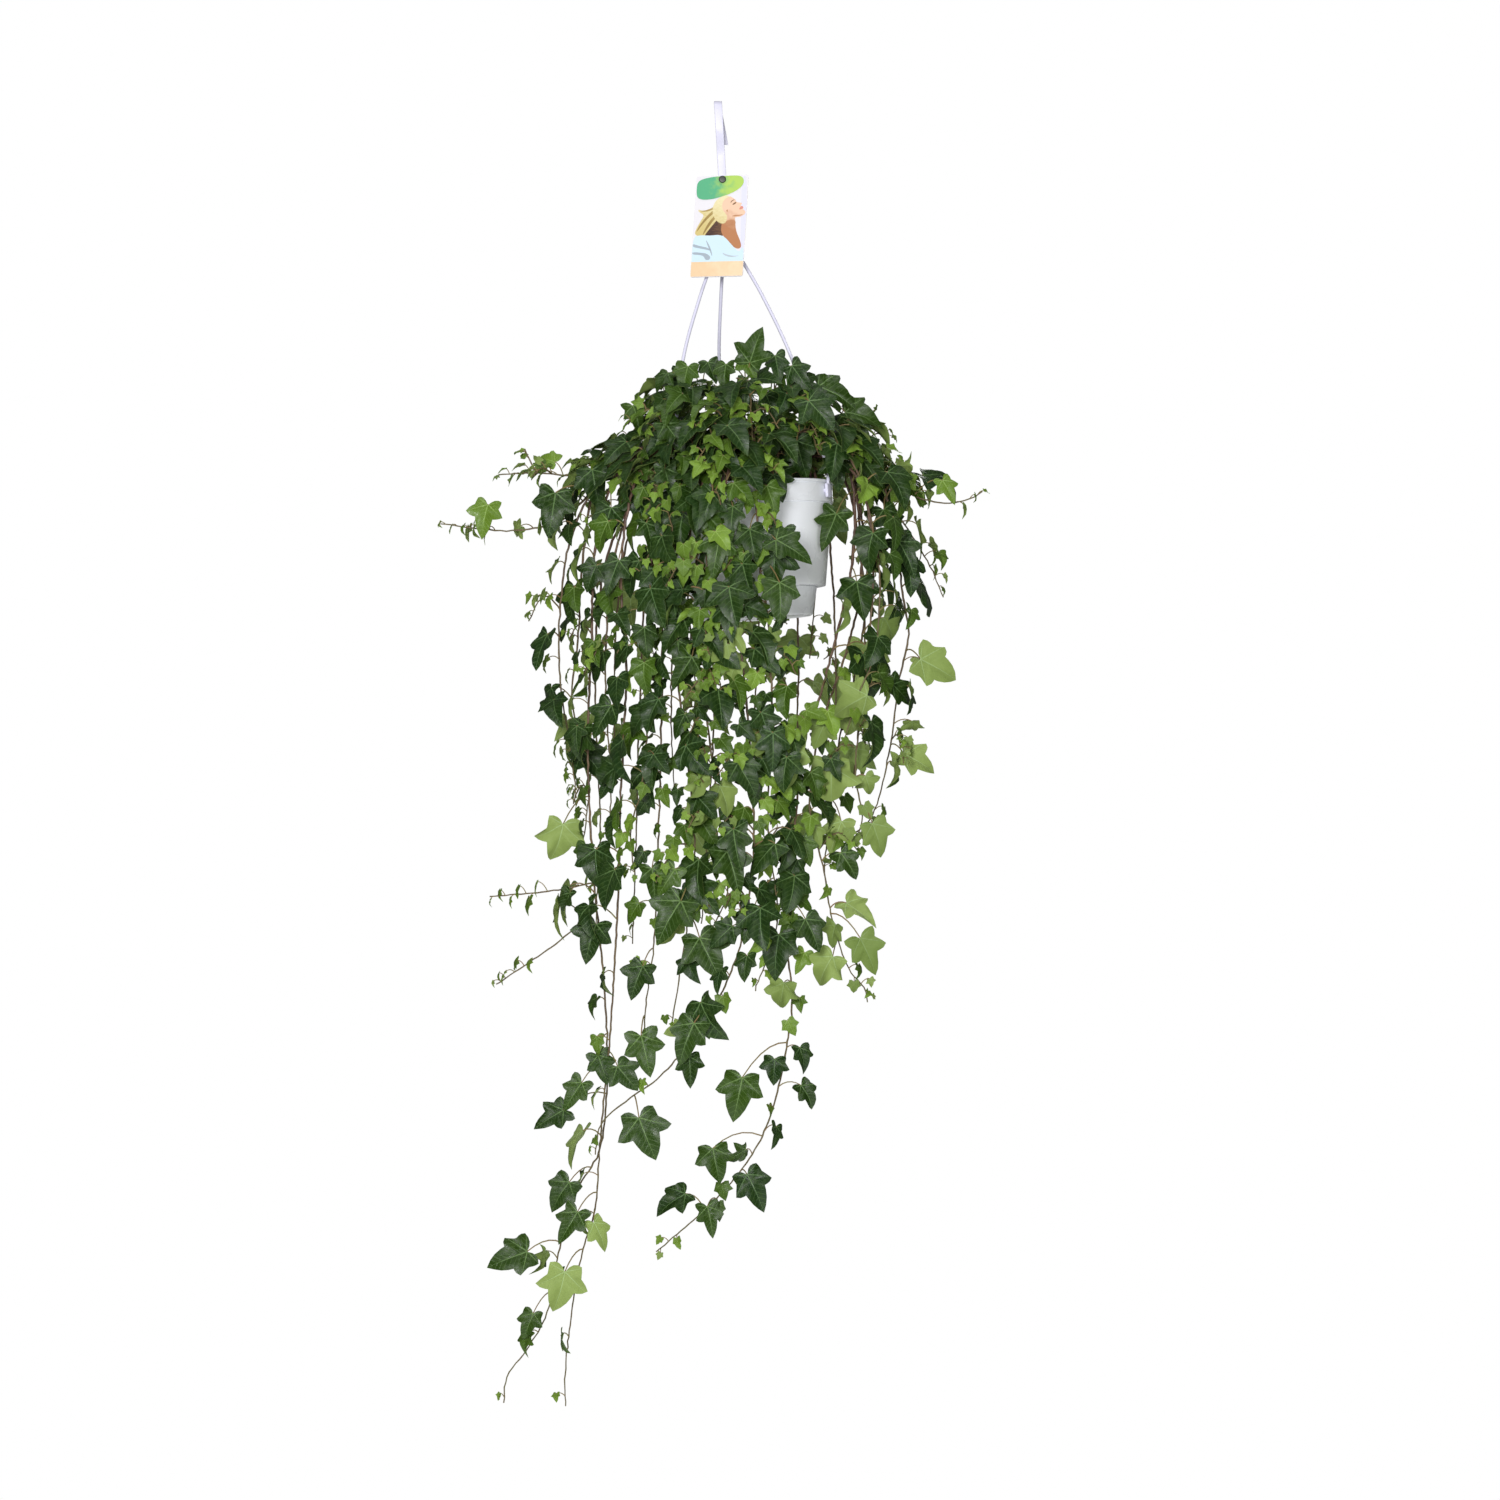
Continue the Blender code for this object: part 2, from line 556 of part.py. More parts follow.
def make_saucer():
    top = ring_height - GAP
    inner_floor = saucer_bottom + SAUCER_FLOOR
    inner_lower = saucer_outer_radius(inner_floor) - SAUCER_WALL
    head_under = floor_top + GAP
    head_top = head_under + POST_HEAD_HEIGHT
    profile = [
        (0.0, head_top),
        (POST_RADIUS * 0.8, head_top),
        (POST_HEAD_RADIUS, head_under + POST_HEAD_HEIGHT * 0.3),
        (POST_HEAD_RADIUS, head_under),
        (POST_RADIUS, head_under),
        (POST_RADIUS, inner_floor),
        (inner_lower, inner_floor),
        (saucer_outer_radius(top) - SAUCER_WALL, top),
        (saucer_outer_radius(top), top),
        (saucer_outer_radius(saucer_bottom + SAUCER_EDGE), saucer_bottom + SAUCER_EDGE),
        (saucer_outer_radius(saucer_bottom) - SAUCER_EDGE, saucer_bottom),
        (0.0, saucer_bottom),
    ]
    return turned("saucer", profile, "pot_plastic", pot_frame)


def soil_height(radius):
    share = radius / (collar_upper_radius - POT_WALL)
    return -SOIL_BELOW_RIM + SOIL_CROWN * (1 - share * share)


def make_soil():
    side = SOIL_CLEARANCE
    inner_foot = foot_radius - POT_WALL - side
    shelf = ring_height + POT_WALL + side
    body_lower = BODY_LOWER_RADIUS - POT_WALL - side
    body_upper = body_upper_radius - POT_WALL - side
    collar_shelf = -COLLAR_HEIGHT + POT_WALL + side
    edge = collar_lower_radius - POT_WALL - side
    bottom = floor_top + side
    recess_radius = POST_HEAD_RADIUS + POST_CLEARANCE
    recess_top = floor_top + GAP + POST_HEAD_HEIGHT + side
    profile = [
        (0.0, soil_height(0.0)),
        (edge * 0.5, soil_height(edge * 0.5)),
        (edge * 0.8, soil_height(edge * 0.8)),
        (edge, soil_height(edge)),
        (edge, collar_shelf),
        (body_upper, collar_shelf),
        (body_lower, shelf),
        (inner_foot, shelf),
        (inner_foot, bottom),
        (recess_radius, bottom),
        (recess_radius, recess_top),
        (0.0, recess_top),
    ]
    return turned("soil", profile, "potting_soil", pot_frame)


# Hanger

def strand_azimuths():
    return [STRAND_FIRST_AZIMUTH + i * 360 / STRAND_COUNT for i in range(STRAND_COUNT)]


def strap_path():
    """The middle line of the strap: up the free leg, over the bend and down to the hub."""
    bend = HOOK_INNER_RADIUS + STRAP_THICKNESS / 2
    bend_centre = -HOOK_INNER_RADIUS
    path = [
        Vector((HOOK_LEG_DRIFT, bend + HOOK_LEG_SPREAD, -HOOK_LEG_LENGTH)),
        Vector((HOOK_LEG_DRIFT * 0.7, bend, -HOOK_LEG_LENGTH * 0.75)),
    ]
    bend_steps = 10
    for i in range(bend_steps + 1):
        angle = math.pi * i / bend_steps
        path.append(Vector((0.0, bend * math.cos(angle), bend_centre + bend * math.sin(angle))))
    ease_start = -HOOK_INNER_RADIUS * 2.4
    ease_end = -HOOK_INNER_RADIUS * 6.4
    ease_steps = 6
    for i in range(ease_steps + 1):
        share = i / ease_steps
        eased = (1 + math.cos(math.pi * share)) / 2
        path.append(Vector((0.0, -bend * eased, ease_start + (ease_end - ease_start) * share)))
    path.append(Vector((0.0, 0.0, -STUD_BELOW_BEARING)))
    path.append(Vector((0.0, 0.0, hub_top.z - HUB_HEIGHT / 2)))
    for point in path[2:]:
        point.x = STRAP_DRIFT * max(0.0, -point.z) / STRAP_LENGTH
    return path


def make_hook():
    path = strap_path()
    half = Vector((STRAP_WIDTH / 2, 0.0, 0.0))
    corners = [point + side for point in path for side in (-half, half)]
    faces = [(2 * i, 2 * i + 1, 2 * i + 3, 2 * i + 2) for i in range(len(path) - 1)]
    mesh = bpy.data.meshes.new("hanger_hook")
    mesh.from_pydata(corners, [], faces)
    hook = add_part("hanger_hook", mesh, "hanger_plastic")
    thick = hook.modifiers.new("Thickness", "SOLIDIFY")
    thick.thickness = STRAP_THICKNESS
    thick.offset = 0.0
    hub_centre = (hub_top + hub_bottom) / 2
    hub = add_helper(
        "hub", box_mesh("hub", (HUB_WIDTH, HUB_DEPTH, HUB_HEIGHT), Matrix.Translation(hub_centre)))
    rounding = hub.modifiers.new("Rounding", "BEVEL")
    rounding.width = HUB_DEPTH * 0.2
    rounding.segments = 1
    boolean(hook, hub, "UNION")
    stud_hole = cylinder_mesh(
        "stud_hole", STUD_RADIUS + STUD_CLEARANCE, STRAP_THICKNESS * 4,
        Matrix.Translation(stud_place()) @ Matrix.Rotation(math.pi / 2, 4, "X"), 12)
    boolean(hook, add_helper("stud_hole", stud_hole), "DIFFERENCE")
    shade_round(hook)
    return hook


def stud_place():
    return Vector((STRAP_DRIFT * STUD_BELOW_BEARING / STRAP_LENGTH, 0.0, -STUD_BELOW_BEARING))


def make_strand(index, azimuth):
    """A strand from the hub down to its clip, bowed outwards by the stems that lean on it."""
    side = (HUB_WIDTH / 2 - 2 * STRAND_RADIUS) * math.cos(math.radians(azimuth))
    start = hub_bottom + Vector((side, 0.0, -GAP))
    clip_radius = RIM_RADIUS + CLIP_CLEARANCE + CLIP_DEPTH / 2
    clip_middle = polar(clip_radius, azimuth, -CLIP_CENTRE_BELOW_RIM)
    clip_end = polar(clip_radius, azimuth, -CLIP_CENTRE_BELOW_RIM + CLIP_HEIGHT / 2 - STRAND_RADIUS)
    end = pot_place @ clip_end
    bow = Vector((*STRAND_BOWS[index % len(STRAND_BOWS)], 0.0))
    route = smooth_route([
        start,
        start - Vector((0.0, 0.0, STRAND_RADIUS * 4)),
        start.lerp(end, 0.25) + bow * 0.6,
        start.lerp(end, 0.50) + bow,
        start.lerp(end, 0.80) + bow * 0.6,
        pot_place @ (clip_end + Vector((0.0, 0.0, STRAND_UPRIGHT))),
        end,
    ], ROUTE_SAMPLE)
    route = thin_route(route, 7.0, 0.06)
    name = f"hanger_strand_{index + 1}"
    mesh = tube_mesh(name, route, [STRAND_RADIUS] * len(route), 1)
    strand = add_part(name, mesh, "hanger_plastic")
    turn = Matrix.Rotation(math.radians(azimuth), 4, "Z")
    clip = add_helper(
        f"clip_{index + 1}",
        box_mesh("clip", (CLIP_DEPTH, CLIP_WIDTH, CLIP_HEIGHT), Matrix.Translation(clip_middle) @ turn),
        pot_frame)
    rounding = clip.modifiers.new("Rounding", "BEVEL")
    rounding.width = CLIP_DEPTH * 0.2
    rounding.segments = 1
    boolean(strand, clip, "UNION")
    inner_face = collar_upper_radius - POT_WALL - COLLAR_TAPER
    head_middle = inner_face - 2 * GAP - CLIP_HEAD_DEPTH / 2
    peg_length = clip_radius - head_middle
    peg = box_mesh(
        "peg", (peg_length, CLIP_PEG_WIDTH, CLIP_PEG_HEIGHT),
        Matrix.Translation(polar((clip_radius + head_middle) / 2, azimuth, -CLIP_CENTRE_BELOW_RIM)) @ turn)
    boolean(strand, add_helper(f"clip_peg_{index + 1}", peg, pot_frame), "UNION")
    head = box_mesh(
        "head", (CLIP_HEAD_DEPTH, CLIP_PEG_WIDTH + 0.001, CLIP_HEAD_HEIGHT),
        Matrix.Translation(polar(head_middle, azimuth, -CLIP_CENTRE_BELOW_RIM)) @ turn)
    boolean(strand, add_helper(f"clip_head_{index + 1}", head, pot_frame), "UNION")
    shade_round(strand)
    return strand


# Tag and its stud

def tag_outline():
    points = []
    corner_steps = 3
    left, right = -TAG_WIDTH / 2, TAG_WIDTH / 2
    top, bottom = TAG_HOLE_BELOW_TOP, TAG_HOLE_BELOW_TOP - TAG_HEIGHT
    for middle_x, middle_z, start in (
            (right - TAG_CORNER, top - TAG_CORNER, 0), (left + TAG_CORNER, top - TAG_CORNER, 90),
            (left + TAG_CORNER, bottom + TAG_CORNER, 180), (right - TAG_CORNER, bottom + TAG_CORNER, 270)):
        for i in range(corner_steps + 1):
            angle = math.radians(start + 90 * i / corner_steps)
            points.append(Vector((
                middle_x + TAG_CORNER * math.cos(angle), 0.0,
                middle_z + TAG_CORNER * math.sin(angle))))
    return points


def make_tag():
    points = tag_outline()
    mesh = bpy.data.meshes.new("tag")
    mesh.from_pydata(points, [], [tuple(range(len(points)))])
    tag = add_part("tag", mesh, "tag_card")
    tag.location = stud_place() + Vector((0.0, -STRAP_THICKNESS / 2 - TAG_STANDOFF, 0.0))
    tag.rotation_euler = (-math.radians(TAG_PITCH), math.radians(TAG_ROLL), -math.radians(TAG_YAW))
    thick = tag.modifiers.new("Thickness", "SOLIDIFY")
    thick.thickness = TAG_THICKNESS
    thick.offset = 0.0
    hole = cylinder_mesh(
        "tag_hole", TAG_HOLE_RADIUS, TAG_THICKNESS * 6, Matrix.Rotation(math.pi / 2, 4, "X"), 16)
    boolean(tag, add_helper("tag_hole", hole, tag), "DIFFERENCE")
    return tag


def make_stud():
    front = -STRAP_THICKNESS / 2 - TAG_STANDOFF - TAG_THICKNESS / 2 - STUD_HEAD_GAP
    back = STRAP_THICKNESS / 2 + GAP
    profile = [
        (0.0, -front + STUD_HEAD_THICKNESS),
        (STUD_HEAD_RADIUS * 0.7, -front + STUD_HEAD_THICKNESS * 0.85),
        (STUD_HEAD_RADIUS, -front + STUD_HEAD_THICKNESS * 0.3),
        (STUD_HEAD_RADIUS, -front),
        (STUD_RADIUS, -front),
        (STUD_RADIUS, -back),
        (STUD_RADIUS + 0.001, -back),
        (STUD_RADIUS + 0.001, -back - STUD_HEAD_THICKNESS),
        (0.0, -back - STUD_HEAD_THICKNESS),
    ]
    stud = turned("tag_stud", profile, "stud_plastic", None)
    stud.location = stud_place()
    stud.rotation_euler = (math.pi / 2, 0.0, 0.0)
    stud.modifiers["Turn"].steps = 16
    stud.modifiers["Turn"].render_steps = 16
    return stud


# Vines

def route_point(point):
    """A laid-out point, moved outwards or inwards with the rim."""
    flat = Vector((point[0] * MM, point[1] * MM, 0.0))
    away = flat.normalized() * (RIM_RADIUS - LAID_OUT_RIM)
    return rim_centre + flat + away + Vector((0.0, 0.0, point[2] * MM))


def root_route(azimuth, share, crest):
    """The first points of a vine: out of the soil, and up to its crest."""
    soil_radius = collar_lower_radius - POT_WALL
    radius = soil_radius * share
    root = pot_place @ polar(radius, azimuth, soil_height(radius) + 2 * GAP)
    up = pot_place.to_3x3() @ Vector((0.0, 0.0, 1.0))
    top = pot_place @ polar(RIM_RADIUS * (share + CREST_SHARE) / 2, azimuth, crest * MM)
    return [root, root + up * RISE_HEIGHT, top]


def vine_route(spec):
    azimuth, share, crest, hanging = spec
    points = root_route(azimuth, share, crest) + [route_point(point) for point in hanging]
    return thin_route(smooth_route(points, ROUTE_SAMPLE), ROUTE_MOST_TURN, ROUTE_MOST_SPAN)


def tapered(count, first, last):
    return [first + (last - first) * i / (count - 1) for i in range(count)]


def stem_mesh(name, route, first, last):
    return tube_mesh(name, route, tapered(len(route), first, last), STEM_SIDES_RESOLUTION)


def tree_of(mesh, place=None):
    build = bmesh.new()
    build.from_mesh(mesh)
    if place:
        build.transform(place)
    tree = BVHTree.FromBMesh(build)
    build.free()
    return tree


def leaf_surface(stalk_start, base, length, down, normal):
    """A folded open surface: a narrow strip for the stalk, and the lobed blade beyond it."""
    across = down.cross(normal).normalized()
    stalk = (base - stalk_start).normalized()
    edge = stalk.cross(normal)
    edge = edge.normalized() if edge.length > 0.05 else across
    if edge.dot(across) < 0:
        edge = -edge
    half = edge * PETIOLE_WIDTH / 2
    right = [base + (across * x + down * y) * length for x, y in LEAF_HALF]
    left = [base + (down * y - across * x) * length for x, y in LEAF_HALF]
    tip = base + down * length * LEAF_TIP[1]
    blade = [base + half, *right, tip, *reversed(left), base - half]
    points = [stalk_start - half, stalk_start + half, *blade]
    faces = [(0, 1, 2, len(points) - 1), tuple(range(2, len(points)))]
    return points, faces


def leaf_mesh(name, surface, thickness):
    """The folded surface made solid."""
    points, faces = surface
    mesh = bpy.data.meshes.new(name)
    mesh.from_pydata(points, [], faces)
    guide = bpy.data.objects.new(name + "_guide", mesh)
    helpers.objects.link(guide)
    thick = guide.modifiers.new("Thickness", "SOLIDIFY")
    thick.thickness = thickness
    thick.offset = 0.0
    solid = evaluated_mesh(guide, name)
    bpy.data.objects.remove(guide)
    bpy.data.meshes.remove(mesh)
    solid.name = name
    build = bmesh.new()
    build.from_mesh(solid)
    bmesh.ops.triangulate(build, faces=build.faces)
    bmesh.ops.recalc_face_normals(build, faces=build.faces)
    build.to_mesh(solid)
    build.free()
    return solid


def outwards(point):
    away = point - rim_centre
    away.z = 0.0
    return away.normalized()


def nearest_on(route, across, height):
    """The point of a stem that is nearest to a place, as seen from the front."""
    return min(route, key=lambda point: math.hypot(point.x - across, point.z - height))


def stalk_start(route, base, down):
    """Where a leaf's stalk leaves the stem: close by, and without doubling back on the blade."""
    def strain(point):
        stalk = base - point
        return stalk.length * (1.4 - stalk.normalized().dot(down))
    return min(route, key=strain)


def large_leaf_poses(route, leaves):
    """Poses of the leaves that are placed one by one, as seen from the front."""
    for across, height, length, swing, face in leaves:
        beside = nearest_on(route, rim_centre.x + across * MM, rim_centre.z + height * MM)
        forward = 0.012 + length * MM * 0.25
        base = Vector((rim_centre.x + across * MM, beside.y - forward, rim_centre.z + height * MM))
        angle = math.radians(swing)
        down = Vector((math.sin(angle), -0.30, -math.cos(angle))).normalized()
        stem = stalk_start(route, base, down)
        normal = Vector((0.0, -1.0, 0.45))
        if face == "under":
            normal = Vector((0.15, 0.9, 0.35))
        normal = (normal - down * normal.dot(down)).normalized()
        yield stem, base, length * MM, down, normal, Vector((0.0, -1.0, 0.0))


def spaced_leaf_poses(route, chance, spacing):
    """Poses of the other leaves, to either side of the stem in turn."""
    lengths = [(b - a).length for a, b in zip(route, route[1:])]
    total = sum(lengths)
    position = LEAF_FIRST + chance.random() * LEAF_FIRST_SPREAD
    side = 1 if chance.random() < 0.5 else -1
    while position < total - LEAF_LAST:
        gone, index = 0.0, 0
        while index < len(lengths) - 1 and gone + lengths[index] < position:
            gone += lengths[index]
            index += 1
        stem = route[index]
        along = (route[index + 1] - route[index]).normalized()
        out = outwards(stem)
        beside = along.cross(out)
        beside = beside.normalized() if beside.length > 0.1 else Vector((-out.y, out.x, 0.0))
        late = position / total
        length = LEAF_SMALLEST + (LEAF_LARGEST - LEAF_SMALLEST) * chance.random() * (1 - 0.5 * late)
        reach = out * 0.8 + beside * side * (0.5 + 0.5 * chance.random()) + Vector((0, 0, 0.25))
        base = stem + reach.normalized() * length * (0.45 + 0.35 * chance.random())
        down = out * 0.45 + beside * side * 0.45 * chance.random() + Vector((0, 0, -0.9)) + along * 0.3
        down = down.normalized()
        normal = out + Vector((0.0, 0.0, 0.6))
        normal = (normal - down * normal.dot(down)).normalized()
        yield stem, base, length, down, normal, out
        position += spacing * (0.8 + 0.4 * chance.random())
        side = -side


def make_vines():
    taken = []
    for part in list(parts.objects):
        mesh = evaluated_mesh(part, "probe")
        taken.append(tree_of(mesh, part.matrix_world))
        bpy.data.meshes.remove(mesh)
    kept = {name: vine_route(spec) for name, spec in VINES.items()}
    routes = {name: dense_route(route, ROUTE_SAMPLE) for name, route in kept.items()}
    stems = {}
    stem_trees = {}
    for name, route in kept.items():
        stems[name] = add_part(name, stem_mesh(name, route, STEM_BASE_RADIUS, STEM_TIP_RADIUS), "ivy")
        stem_trees[name] = tree_of(stems[name].data)
    operands = {name: [] for name in VINES}
    for index, (name, leaves_at, points) in enumerate(SIDE_SHOOTS):
        start = nearest_on(routes[name], *[rim + at * MM for rim, at in zip(rim_centre.xz, leaves_at)])
        shoot = smooth_route([start, *[route_point(point) for point in points]], ROUTE_SAMPLE)
        shoot = thin_route(shoot, ROUTE_MOST_TURN, ROUTE_MOST_SPAN)
        mesh = stem_mesh(f"side_shoot_{index + 1}", shoot, STEM_TIP_RADIUS * 1.2, STEM_TIP_RADIUS)
        operands[name].append(mesh)
        taken.append(tree_of(mesh))
    for index, (name, route) in enumerate(routes.items()):
        chance = random.Random(index + 1)
        others = [tree for other, tree in stem_trees.items() if other != name]
        placed = LARGE_LEAVES.get(name, [])
        poses = list(large_leaf_poses(route, placed))
        if len(placed) < 2:
            poses += list(spaced_leaf_poses(route, chance, LEAF_SPACING))
        for pose in poses:
            surface, room = roomy_leaf(pose, taken + others, stem_trees[name])
            if surface:
                operands[name].append(leaf_mesh(f"{name}_leaf", surface, LEAF_THICKNESS))
                taken.append(room)
    for name, meshes in operands.items():
        grow_together(stems[name], meshes)


def roomy_leaf(pose, taken, own_stem):
    """The leaf's surface where it first finds room, and the room it takes; none if it finds none."""
    stem, base, length, down, normal, away = pose
    for shift in range(LEAF_TRIES):
        surface = leaf_surface(stem, base + away * LEAF_SHIFT * shift, length, down, normal)
        room = tree_of(leaf_mesh("room", surface, LEAF_THICKNESS + 4 * GAP))
        if any(room.overlap(tree) for tree in taken):
            continue
        points, faces = surface
        blade = tree_of(leaf_mesh("blade", (points[2:], [tuple(range(len(points) - 2))]), 8 * GAP))
        if not blade.overlap(own_stem):
            return surface, room
    return None, None


def grow_together(stem, meshes):
    """One grown piece from a stem and the leaves and side shoots on it."""
    if not meshes:
        return
    group = bpy.data.collections.new(stem.name + "_leaves")
    helpers.children.link(group)
    for index, mesh in enumerate(meshes):
        leaf = bpy.data.objects.new(f"{stem.name}_leaf_{index + 1}", mesh)
        group.objects.link(leaf)
        leaf.hide_render = True
        leaf.display_type = "WIRE"
    join = stem.modifiers.new("Leaves", "BOOLEAN")
    join.operation = "UNION"
    join.solver = "EXACT"
    join.operand_type = "COLLECTION"
    join.collection = group


make_pot()
make_saucer()
make_soil()
make_hook()
for strand_index, strand_azimuth in enumerate(strand_azimuths()):
    make_strand(strand_index, strand_azimuth)
make_tag()
make_stud()
bpy.context.view_layer.update()
make_vines()
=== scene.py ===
import json
import math
import random

import bmesh
import bpy
import numpy as np
from mathutils import Matrix, Vector
from mathutils.bvhtree import BVHTree


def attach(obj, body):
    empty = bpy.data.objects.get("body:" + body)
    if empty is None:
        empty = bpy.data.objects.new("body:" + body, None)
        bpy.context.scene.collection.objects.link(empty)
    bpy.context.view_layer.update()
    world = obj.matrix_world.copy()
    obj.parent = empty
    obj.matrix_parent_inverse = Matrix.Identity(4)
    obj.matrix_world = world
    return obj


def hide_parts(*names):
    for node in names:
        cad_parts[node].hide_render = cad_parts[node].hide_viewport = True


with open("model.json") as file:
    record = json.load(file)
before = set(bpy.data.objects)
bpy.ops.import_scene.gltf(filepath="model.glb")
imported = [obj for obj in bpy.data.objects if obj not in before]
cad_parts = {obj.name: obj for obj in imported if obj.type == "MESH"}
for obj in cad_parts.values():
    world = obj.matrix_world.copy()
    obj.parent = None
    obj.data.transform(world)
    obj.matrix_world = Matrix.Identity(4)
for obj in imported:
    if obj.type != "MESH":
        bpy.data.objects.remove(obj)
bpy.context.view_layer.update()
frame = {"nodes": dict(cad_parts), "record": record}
print("frame loaded")

mm = 0.001
up = Vector((0, 0, 1))

# ---- where things are, from the imported record and the sizes given here ----
underside = next(m for m in frame["record"]["mounts"] if m["name"] == "saucer_underside")
potUp = -Vector(underside["axis"]).normalized()
potSizes = {
    "rimRadius": 0.0965, "rimHeight": 0.0032, "rimOverhang": 0.0014, "wall": 0.0017,
    "collarHeight": 0.0244, "collarTaper": 0.0006, "collarStep": 0.0012, "bodyHeight": 0.0917,
    "bodyLowerRadius": 0.0808, "footDepth": 0.012, "saucerHeight": 0.0324,
    "saucerUpperRadius": 0.0712, "saucerLowerRadius": 0.0638, "saucerWall": 0.0016,
    "soilBelowRim": 0.019, "soilCrown": 0.005, "gap": 0.0003, "turnSteps": 128, "groove": 0.0008,
}
potHeight = potSizes["collarHeight"] + potSizes["bodyHeight"] + potSizes["saucerHeight"]
rimCentre = Vector(underside["pos_m"]) + potUp * potHeight
potSide = Vector((0, 1, 0)).cross(potUp).normalized()
potPlace = Matrix.Translation(rimCentre) @ Matrix((
    (potSide.x, 0, potUp.x, 0), (0, 1, 0, 0), (potSide.z, 0, potUp.z, 0), (0, 0, 0, 1)))


# ---- small helpers ----
def addPiece(name, mesh, material, nodes=()):
    piece = bpy.data.objects.new(name, mesh)
    bpy.context.scene.collection.objects.link(piece)
    if material:
        mesh.materials.clear()
        mesh.materials.append(material)
    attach(piece, "root")
    for node in nodes:
        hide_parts(node)
    return piece


def meshFrom(name, points, faces, smooth=True, angle=40):
    mesh = bpy.data.meshes.new(name)
    mesh.from_pydata([tuple(p) for p in points], [], faces)
    mesh.validate()
    if smooth:
        mesh.shade_smooth()
        mesh.set_sharp_from_angle(angle=math.radians(angle))
    return mesh


def setPointValues(mesh, name, values):
    layer = mesh.attributes.new(name, "FLOAT", "POINT")
    layer.data.foreach_set("value", np.asarray(values, np.float32))


def polar(radius, azimuth, height):
    angle = math.radians(azimuth)
    return Vector((radius * math.cos(angle), radius * math.sin(angle), height))


def lathe(profile, steps):
    """points and faces of a closed turned shape; the profile ends on the axis at both ends"""
    points, faces, rings = [], [], []
    for radius, height in profile:
        if radius < 1e-7:
            rings.append([len(points)])
            points.append(Vector((0, 0, height)))
            continue
        rings.append([len(points) + i for i in range(steps)])
        points += [polar(radius, 360 * i / steps, height) for i in range(steps)]
    for a, b in zip(rings, rings[1:]):
        for i in range(steps):
            j = (i + 1) % steps
            face = [a[i % len(a)], b[i % len(b)], b[j % len(b)], a[j % len(a)]]
            faces.append(tuple(dict.fromkeys(face)))
    return points, faces


def rounded(profile, radius, steps=3):
    """the profile with its corners rounded off"""
    result = [profile[0]]
    for before, corner, after in zip(profile, profile[1:], profile[2:]):
        c = Vector(corner)
        a = Vector(before) - c
        b = Vector(after) - c
        cut = min(radius, a.length * 0.45, b.length * 0.45)
        start = c + a.normalized() * cut
        end = c + b.normalized() * cut
        for i in range(steps + 1):
            t = i / steps
            point = start.lerp(c, t).lerp(c.lerp(end, t), t)
            result.append((point.x, point.y))
    return [*result, profile[-1]]


# ---- shader helpers ----
def newMaterial(name, **values):
    material = bpy.data.materials.new(name)
    material.use_nodes = True
    shader = material.node_tree.nodes["Principled BSDF"]
    for socket, value in values.items():
        shader.inputs[socket.replace("_", " ")].default_value = value
    return material, material.node_tree, shader


def newGroup(name, inputs, outputs):
    tree = bpy.data.node_groups.new(name, "ShaderNodeTree")
    for label, kind, value in inputs:
        socket = tree.interface.new_socket(label, in_out="INPUT", socket_type="NodeSocket" + kind)
        if value is not None:
            socket.default_value = value
    for label, kind in outputs:
        tree.interface.new_socket(label, in_out="OUTPUT", socket_type="NodeSocket" + kind)
    return tree, tree.nodes.new("NodeGroupInput"), tree.nodes.new("NodeGroupOutput")


def link(tree, source, target):
    tree.links.new(source, target)


def fill(tree, socket, value):
    """gives a socket a number, a colour, or a link from another node's output"""
    if isinstance(value, (int, float)):
        socket.default_value = value
    elif isinstance(value, tuple):
        socket.default_value = (*value, 1.0)
    else:
        link(tree, value, socket)


def mathNode(tree, operation, *values):
    node = tree.nodes.new("ShaderNodeMath")
    node.operation = operation
    for socket, value in zip(node.inputs, values):
        fill(tree, socket, value)
    return node.outputs[0]


def times(tree, a, b):
    return mathNode(tree, "MULTIPLY", a, b)


def rangeNode(tree, value, low, high, toLow=0.0, toHigh=1.0):
    node = tree.nodes.new("ShaderNodeMapRange")
    node.interpolation_type = "SMOOTHSTEP"
    for socket, item in zip(node.inputs, (value, low, high, toLow, toHigh)):
        fill(tree, socket, item)
    return node.outputs[0]


def mixColour(tree, share, first, second):
    node = tree.nodes.new("ShaderNodeMix")
    node.data_type = "RGBA"
    for index, item in zip((0, 6, 7), (share, first, second)):
        fill(tree, node.inputs[index], item)
    return node.outputs[2]


def noiseNode(tree, scale, detail, vector, roughness=0.5):
    node = tree.nodes.new("ShaderNodeTexNoise")
    for label, value in (("Scale", scale), ("Detail", detail), ("Roughness", roughness), ("Vector", vector)):
        fill(tree, node.inputs[label], value)
    return node.outputs["Fac"]


def objectPlace(tree):
    return tree.nodes.new("ShaderNodeTexCoord").outputs["Object"]


def bumpInto(tree, shader, height, strength, distance):
    bump = tree.nodes.new("ShaderNodeBump")
    bump.inputs["Strength"].default_value = strength
    bump.inputs["Distance"].default_value = distance
    link(tree, height, bump.inputs["Height"])
    link(tree, bump.outputs[0], shader.inputs["Normal"])


def attributeNode(tree, name):
    node = tree.nodes.new("ShaderNodeAttribute")
    node.attribute_name = name
    return node.outputs["Fac"]


def placeGroup(tree, group, **values):
    node = tree.nodes.new("ShaderNodeGroup")
    node.node_tree = group
    for label, value in values.items():
        fill(tree, node.inputs[label.replace("_", " ")], value)
    return node


